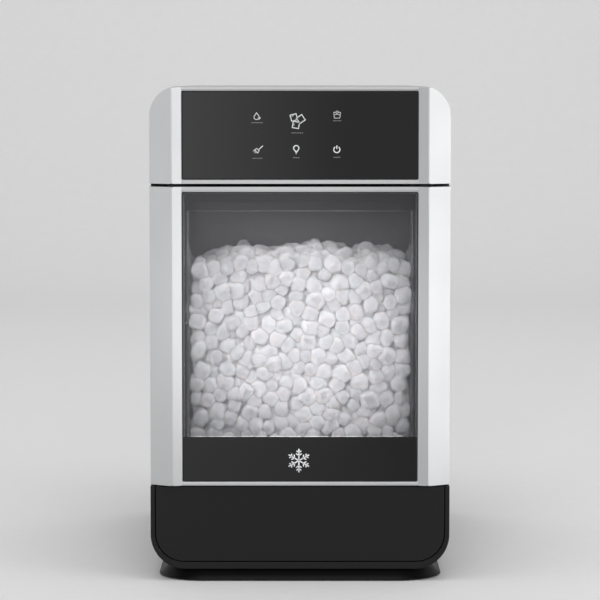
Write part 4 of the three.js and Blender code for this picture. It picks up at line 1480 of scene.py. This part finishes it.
@dataclass
class IceStore:
    """The clear bin and the loose nuggets in it."""

    wall: float = 0.0024
    corner: float = 0.009
    floor: float = 0.0024
    drain_x: tuple[float, ...] = (-0.04, 0, 0.04)
    drain_y: Span = (-0.12, -0.05)
    drain_half_width: float = 0.003
    apart: float = 0.0102  # least distance between two nuggets' middles
    sizes: Span = (0.0074, 0.0104)  # smallest and largest radius of a nugget
    inset: float = 0.0072  # of the nuggets' middles from the bin's walls
    half_length: Span = (0.55, 0.85)  # of a nugget, for a radius of 1
    end_share: float = 0.74  # radius of a nugget's ends, for a radius of 1 at its waist
    oval: float = 0.88
    wear: float = 0.15  # width of a nugget's worn edges, for a radius of 1
    flatten: float = 0.42  # a nugget's faces that turn by less than this, in radians, are joined
    front_depth: float = 0.030  # nuggets nearer the front than this are a piece of their own
    shell: float = 0.019  # how deep loose nuggets are set, round a plain core
    kinds: int = 8
    seed: int = 11
    top_middle: float = 0.2885
    top_side: float = 0.2775
    lumps_x: Span = (0.0022, 95.0)  # height of the lumps across, and radians per metre
    lumps_y: Span = (0.0018, 120.0)
    cover: float = 0.0082  # how far the core lies below the outermost nuggets' middles
    core_steps: tuple[int, int] = (24, 15)
    slack: float = 0.0025  # how far a pressed nugget may stand off the wall
    share_on_top: float = 0.25
    bumps: float = 0.0065  # how far a nugget on top may lie below the highest
    tries: int = 60
    batch: int = 1500

    def build(self, shop: Workshop) -> None:
        """Makes the bin, the core and the nuggets.

        Args:
            shop: the workshop that finishes the pieces.
        """
        self.bin(shop)
        points = self.places()
        LOG.info("%d nuggets", len(points))
        in_front = points[:, 1] < self.room()[0][1] + self.front_depth
        for name, chosen, nodes in (
            ("ice_nuggets_front", points[in_front], ("ice_heap",)),
            ("ice_nuggets_back", points[~in_front], ()),
        ):
            shapes = [self.nugget(kind) for kind in range(self.kinds)]
            finish = FINISHES["ice"]
            mesh = shop.pattern.spread(chosen, shapes, finish, self.sizes, 2 * math.pi, self.seed)
            shop.piece(name, mesh, "ice", "drawer", 0.0, nodes)
        self.core(shop)

    def bin(self, shop: Workshop) -> None:
        """Makes the clear open bin with a rolled rim.

        Args:
            shop: the workshop that finishes the pieces.
        """
        x, y, z = box_of("ice_bin")
        outer = rounded(x, y, self.corner)
        inner = rounded(grown(x, -self.wall), grown(y, -self.wall), self.corner - self.wall)
        half, drain_z = self.drain_half_width, (z[0] - 0.002, z[0] + 0.004)
        drains = [block(grown((a, a), half), self.drain_y, drain_z) for a in self.drain_x]
        hollow = prism(inner, Axis.Z, (z[0] + self.floor, z[1] + OVER))
        mesh = cut(prism(outer, Axis.Z, z), [hollow, together(drains)])
        shop.stand_in("ice_bin", mesh, 0.0006, 3)

    def room(self) -> tuple[np.ndarray, np.ndarray]:
        """Gives the corners of the space that nuggets' middles keep to, with its top at the walls.

        Returns:
            The lowest and the highest corner.
        """
        x, y, z = box_of("ice_bin")
        gap = self.wall + self.inset
        low = np.array([x[0] + gap, y[0] + gap, z[0] + self.floor + self.inset])
        high = np.array([x[1] - gap, y[1] - gap, self.top_side])
        return low, high

    def top(self, points: np.ndarray) -> np.ndarray:
        """Gives the heap's height above each point.

        Args:
            points: an array of points.

        Returns:
            The height of the highest nugget's middle there.
        """
        low, high = self.room()
        across = np.clip(1 - (points[:, 0] / high[0]) ** 4, 0, 1)
        centre = (low[1] + high[1]) / 2
        along = np.clip(1 - ((points[:, 1] - centre) / (high[1] - centre)) ** 2, 0, 1)
        lumps = self.lumps_x[0] * np.sin(points[:, 0] * self.lumps_x[1] + 0.6)
        lumps = lumps + self.lumps_y[0] * np.sin(points[:, 1] * self.lumps_y[1])
        swell = (self.top_middle - self.top_side) * across * (0.62 + 0.38 * along)
        return self.top_side + swell + lumps

    def places(self) -> np.ndarray:
        """Sets nuggets round the outside of the heap, none closer than the least distance.

        Returns:
            Their middles.
        """
        rng = np.random.default_rng(self.seed)
        low, high = self.room()
        kept = np.empty((0, 3))
        for turn in range(self.tries):
            points = low + rng.random((self.batch, 3)) * (high - low)
            pressed = turn < self.tries // 2
            if pressed:
                self.press_sides(points, rng)
            roof = self.top(points)
            points[:, 2] = low[2] + rng.random(self.batch) * (roof - low[2])
            if pressed:
                above = rng.random(self.batch) < self.share_on_top
                points[above, 2] = (roof - rng.random(self.batch) * self.bumps)[above]
            depth = self.depth(points, roof)
            kept = self.add_clear(kept, points[depth < self.shell])
        return kept

    def press_sides(self, points: np.ndarray, rng: np.random.Generator) -> None:
        """Moves most of the points onto the heap's front, back and sides.

        Args:
            points: the points, changed in place.
            rng: the source of chance.
        """
        low, high = self.room()
        face = rng.integers(0, 7, len(points))
        slack = rng.random(len(points)) * self.slack
        faces = ((0, 0, low, 1), (1, 0, high, -1), (2, 1, low, 1), (3, 1, high, -1), (4, 1, low, 1))
        for number, axis, limit, sign in faces:
            chosen = face == number
            points[chosen, axis] = limit[axis] + sign * slack[chosen]

    def depth(self, points: np.ndarray, roof: np.ndarray) -> np.ndarray:
        """Gives each point's distance inwards from the nearest side or the top.

        Args:
            points: an array of points.
            roof: the heap's height above each point.

        Returns:
            The distances.
        """
        low, high = self.room()
        walls = np.minimum(points[:, :2] - low[:2], high[:2] - points[:, :2]).min(axis=1)
        return np.minimum(walls, roof - points[:, 2])

    def add_clear(self, kept: np.ndarray, points: np.ndarray) -> np.ndarray:
        """Adds the points that are clear of those kept and of each other.

        Args:
            kept: the points kept so far.
            points: new points.

        Returns:
            All the points kept.
        """
        if len(kept):
            gaps = ((points[:, None, :] - kept[None, :, :]) ** 2).sum(axis=2).min(axis=1)
            points = points[gaps > self.apart**2]
        near = ((points[:, None, :] - points[None, :, :]) ** 2).sum(axis=2) < self.apart**2
        chosen: list[int] = []
        blocked = np.zeros(len(points), bool)
        for i in range(len(points)):
            if not blocked[i]:
                chosen.append(i)
                blocked |= near[i]
        return np.vstack([kept, points[chosen]])

    def nugget(self, kind: int) -> Mesh:
        """Makes one short, chopped rod of ice of about unit radius, with worn edges.

        Args:
            kind: which lump.

        Returns:
            The mesh.
        """
        rng = np.random.default_rng(100 + kind)
        sides = int(rng.integers(7, 10))
        half = self.half_length[0] + (self.half_length[1] - self.half_length[0]) * rng.random()
        shape = bmesh.new()
        for i in range(sides):
            turn = 2 * math.pi * (i + 0.4 * rng.random()) / sides
            reach = 0.86 + 0.24 * rng.random()
            for end, share in ((-1, self.end_share), (0, 1.0), (1, self.end_share)):
                wide = reach * share * (0.92 + 0.1 * rng.random())
                height = half * (end * (0.86 + 0.28 * rng.random()) + 0.16 * rng.normal() * (end == 0))
                shape.verts.new((wide * math.cos(turn), self.oval * wide * math.sin(turn), height))
        hull = bmesh.ops.convex_hull(shape, input=shape.verts)
        loose = {item for item in hull["geom_interior"] + hull["geom_unused"]}
        bmesh.ops.delete(shape, geom=list(loose), context="VERTS")
        bmesh.ops.dissolve_limit(shape, angle_limit=self.flatten, verts=shape.verts, edges=shape.edges)
        worn = bmesh.ops.bevel(
            shape, geom=list(shape.edges), offset=self.wear, segments=1, affect="EDGES", clamp_overlap=True
        )
        for face in worn["faces"]:
            face.smooth = True
        return to_mesh(shape)

    def core(self, shop: Workshop) -> None:
        """Makes the plain body of ice that the loose nuggets hide.

        Args:
            shop: the workshop that finishes the pieces.
        """
        low, high = self.room()
        cover = self.cover
        wide, deep = self.core_steps
        across = np.linspace(low[0] + cover, high[0] - cover, wide + 1)
        rings = []
        for y in np.linspace(low[1] + cover, high[1] - cover, deep + 1):
            points = np.array([(x, y, 0.0) for x in across])
            roof = self.top(points) - cover
            ring = [Vector((x, y, low[2] - 0.004)) for x in reversed(across)]
            rings.append([Vector((x, y, h)) for x, h in zip(across, roof)] + ring)
        shop.piece("ice_core", loft(rings), "ice", "drawer", 0.0, finish=ICE_HEART)


# ------------------------------------------------------------------------- cooling side


@dataclass
class Condenser:
    """The stack of fins on a folded tube, seen through the rear slots."""

    fin_pitch: float = 0.0019
    fin_thick: float = 0.00025
    plate: float = 0.0014
    margin: float = 0.008  # room for the tube's bends at each side
    tube_radius: float = 0.0033
    passes: int = 6
    first_pass: float = 0.015  # height of the lowest pass above the core's foot
    flattened: float = 0.6  # how far a bend reaches out, for a round bend of 1
    play: float = 0.0005

    def build(self, shop: Workshop) -> None:
        """Makes the fins, the end plates and the tube.

        Args:
            shop: the workshop that finishes the pieces.
        """
        x, y, z = box_of("condenser_core")
        inner = grown(x, -self.margin)
        count = int((inner[1] - inner[0]) / self.fin_pitch)
        fin = block((0.0, self.fin_thick), grown(y, -0.001), grown(z, -0.002))
        places = [(inner[0] + i * self.fin_pitch, 0.0, 0.0) for i in range(count)]
        mesh = shop.pattern.spread(places, [fin], FINISHES["steel"])
        shop.piece("condenser_fins", mesh, "steel", "cabinet", 0.0, ("condenser_core",))
        plates = [block((a, a + self.plate), y, z) for a in (inner[0] - 0.002, inner[1] + self.play)]
        shop.piece("condenser_plates", together(plates), "steel", "cabinet", 0.0003)
        shop.piece("condenser_tube", self.tube(x, y, z), "copper", "cabinet", 0.0)

    def tube(self, x: Span, y: Span, z: Span) -> Mesh:
        """Folds one tube through the fins.

        Args:
            x: the core's range across.
            y: its range in depth.
            z: its range in height.

        Returns:
            The tube's mesh.
        """
        step = (z[1] - z[0] - 2 * self.first_pass) / (self.passes - 1)
        bend = step / 2
        room = bend * self.flattened + self.tube_radius + self.play
        left, right = x[0] + room, x[1] - room
        depth = middle(y)
        points = []
        for i in range(self.passes):
            height = z[0] + self.first_pass + i * step
            start, stop = (left, right) if i % 2 == 0 else (right, left)
            points += [Vector((start + (stop - start) * k / 6, depth, height)) for k in range(7)]
            if i < self.passes - 1:
                side = 1 if i % 2 == 0 else -1
                for k in range(1, 8):
                    turn = math.pi * k / 8
                    out = side * bend * self.flattened * math.sin(turn)
                    points.append(Vector((stop + out, depth, height + bend * (1 - math.cos(turn)))))
        return wire(points, self.tube_radius, 12)


# ------------------------------------------------------------------------- studio


def aimed(name: str, lamp: bpy.types.Light, place: Point3, aim: Point3) -> Object:
    """Stands a lamp at one point and turns it to another.

    Args:
        name: the name of the lamp's object.
        lamp: the lamp.
        place: where it stands.
        aim: the point that it shines on.

    Returns:
        The lamp's object.
    """
    holder = stand(name, lamp)
    holder.location = place
    holder.rotation_euler = (Vector(aim) - Vector(place)).to_track_quat("-Z", "Y").to_euler()
    return holder


@dataclass
class SoftBox:
    """One rectangular lamp."""

    name: str
    place: Point3
    aim: Point3
    size: Point2
    power: float

    def build(self) -> None:
        """Adds the lamp."""
        lamp = bpy.data.lights.new(self.name, "AREA")
        lamp.shape = "RECTANGLE"
        lamp.size, lamp.size_y = self.size
        lamp.energy = self.power
        aimed(self.name, lamp, self.place, self.aim)


@dataclass
class GlowCard:
    """A card that only shiny surfaces see, with a glow that fades along x."""

    name: str
    corners: tuple[Point3, ...]
    fade: Span  # where along x the fade starts and ends
    strengths: Span

    def build(self) -> None:
        """Stands the card in the scene."""
        mesh = bpy.data.meshes.new(self.name)
        mesh.from_pydata(self.corners, [], [(0, 1, 2, 3)])
        mesh.materials.append(self.glow())
        made = stand(self.name, mesh)
        made.visible_camera = False
        made.visible_diffuse = False
        made.visible_shadow = False

    def glow(self) -> bpy.types.Material:
        """Builds the glowing material.

        Returns:
            The material.
        """
        made = bpy.data.materials.new(f"{self.name}_glow")
        made.use_nodes = True
        tree = made.node_tree
        tree.nodes.clear()
        place = add_node(tree, "ShaderNodeTexCoord").outputs["Object"]
        fade = {
            "Value": add_node(tree, "ShaderNodeSeparateXYZ", {0: place}).outputs["X"],
            "From Min": self.fade[0],
            "From Max": self.fade[1],
            "To Min": self.strengths[0],
            "To Max": self.strengths[1],
        }
        strength = add_node(tree, "ShaderNodeMapRange", fade).outputs["Result"]
        light = add_node(tree, "ShaderNodeEmission", {"Strength": strength})
        add_node(tree, "ShaderNodeOutputMaterial", {"Surface": light.outputs[0]})
        return made


@dataclass
class Studio:
    """The floor, the lights and the camera."""

    distance: float = 2.61
    height: float = 0.445
    tilt: float = 4.6  # degrees below level
    lens: float = 163.8  # focal length in millimetres
    floor_colour: Colour = (0.85, 0.845, 0.84)
    air: float = 0.36
    air_colour: Colour = (0.96, 0.97, 1.0)
    pool_power: float = 200.0
    pool_angle: float = 8.0  # degrees
    pool_place: Point3 = (-0.25, -2.1, 0.62)
    pool_aim: Point3 = (0.0, -0.19, 0.228)
    floor_reach: float = 7.0
    wall_start: float = 2.9  # where the floor begins to rise into the backdrop
    wall_bend: float = 0.8
    wall_height: float = 5.5
    lamps: tuple[SoftBox, ...] = (
        SoftBox("right_box", (2.35, -1.5, 0.8), (0.0, -0.1, 0.25), (1.7, 1.5), 19.0),
        SoftBox("left_box", (-2.45, -1.1, 0.8), (0.0, -0.1, 0.25), (1.7, 1.5), 8.4),
        SoftBox("top_box", (0.0, -0.9, 3.0), (0.0, 0.0, 0.2), (2.4, 2.0), 28),
        SoftBox("front_box", (0.0, -4.2, 1.9), (0.0, -0.2, 0.2), (2.6, 1.8), 42),
        SoftBox("wall_box", (0.0, 1.2, 3.4), (0.0, 3.9, 1.0), (3.0, 1.0), 30),
        SoftBox("bin_lamp_light", (0.0, -0.160, 0.3445), (0.0, -0.150, 0.2), (0.11, 0.012), 0.03),
    )
    cards: tuple[GlowCard, ...] = (
        GlowCard(
            "front_card",
            ((-1.6, -3.6, 0.02), (1.6, -3.6, 0.02), (1.6, -3.6, 2.2), (-1.6, -3.6, 2.2)),
            (-0.25, 0.08),
            (1.42, 0.56),
        ),
        GlowCard(
            "right_card",
            ((0.35, -2.1, 0.012), (2.6, -2.1, 0.012), (2.6, -0.25, 0.012), (0.35, -0.25, 0.012)),
            (0.35, 0.9),
            (1.2, 2.7),
        ),
        GlowCard(
            "left_card",
            ((-2.6, -2.1, 0.012), (-0.35, -2.1, 0.012), (-0.35, -0.25, 0.012), (-2.6, -0.25, 0.012)),
            (-0.9, -0.35),
            (1.0, 0.8),
        ),
        GlowCard(
            "floor_card",
            ((-0.35, -2.3, 0.01), (0.35, -2.3, 0.01), (0.35, -0.45, 0.01), (-0.35, -0.45, 0.01)),
            (-0.15, 0.12),
            (0.8, 0.42),
        ),
    )

    def build(self) -> None:
        """Sets up the studio."""
        bpy.context.scene.view_settings.view_transform = "Standard"
        self.floor()
        self.surroundings()
        for item in (*self.cards, *self.lamps):
            item.build()
        self.pool()
        self.camera()

    def pool(self) -> None:
        """Adds a soft pool of light on the window."""
        lamp = bpy.data.lights.new("window_spot", "SPOT")
        lamp.energy = self.pool_power
        lamp.spot_size = math.radians(self.pool_angle)
        lamp.spot_blend = 1.0
        lamp.shadow_soft_size = 0.05
        aimed("window_spot", lamp, self.pool_place, self.pool_aim).visible_glossy = False

    def floor(self) -> None:
        """Makes a pale floor that curves up into the backdrop."""
        start, bend = self.wall_start, self.wall_bend
        sides = (-self.floor_reach, self.floor_reach)
        line = [(sides[0], 0.0), (start, 0.0)]
        for turn in np.linspace(0.1, math.pi / 2, 14):
            line.append((start + bend * math.sin(turn), bend * (1 - math.cos(turn))))
        line.append((start + bend, self.wall_height))
        shape = bmesh.new()
        rows = [[shape.verts.new((x, y, z)) for x in sides] for y, z in line]
        for (a, b), (c, d) in zip(rows, rows[1:]):
            shape.faces.new((a, b, d, c))
        mesh = bpy.data.meshes.new("floor")
        shape.to_mesh(mesh)
        shape.free()
        mesh.polygons.foreach_set("use_smooth", [True] * len(mesh.polygons))
        finish = Finish("pale_floor", self.floor_colour, 0.7, grain=60, vary=0.02, specular=0.0)
        mesh.materials.append(finish.material())
        stand("floor", mesh)

    def surroundings(self) -> None:
        """Lights the room evenly."""
        world = bpy.data.worlds.new("studio")
        world.use_nodes = True
        light = world.node_tree.nodes["Background"]
        light.inputs["Color"].default_value = (*self.air_colour, 1.0)
        light.inputs["Strength"].default_value = self.air
        bpy.context.scene.world = world

    def camera(self) -> None:
        """Aims a long lens a little down at the front."""
        lens = bpy.data.cameras.new("camera")
        lens.lens = self.lens
        lens.sensor_width = 36.0
        holder = stand("camera", lens)
        holder.location = (0.0, -self.distance, self.height)
        holder.rotation_euler = (math.radians(90 - self.tilt), 0.0, 0.0)
        bpy.context.scene.camera = holder


def main() -> None:
    """Builds the studio and every piece of the ice maker."""
    logging.basicConfig(level=logging.INFO, format="%(message)s")
    Studio().build()
    shop = Workshop(frame["record"])
    for assembly in (Base(), Shell(), Head(), DrawerFront(), IceStore(), Condenser()):
        assembly.build(shop)
    shop.rest()


if __name__ == "__main__":
    main()
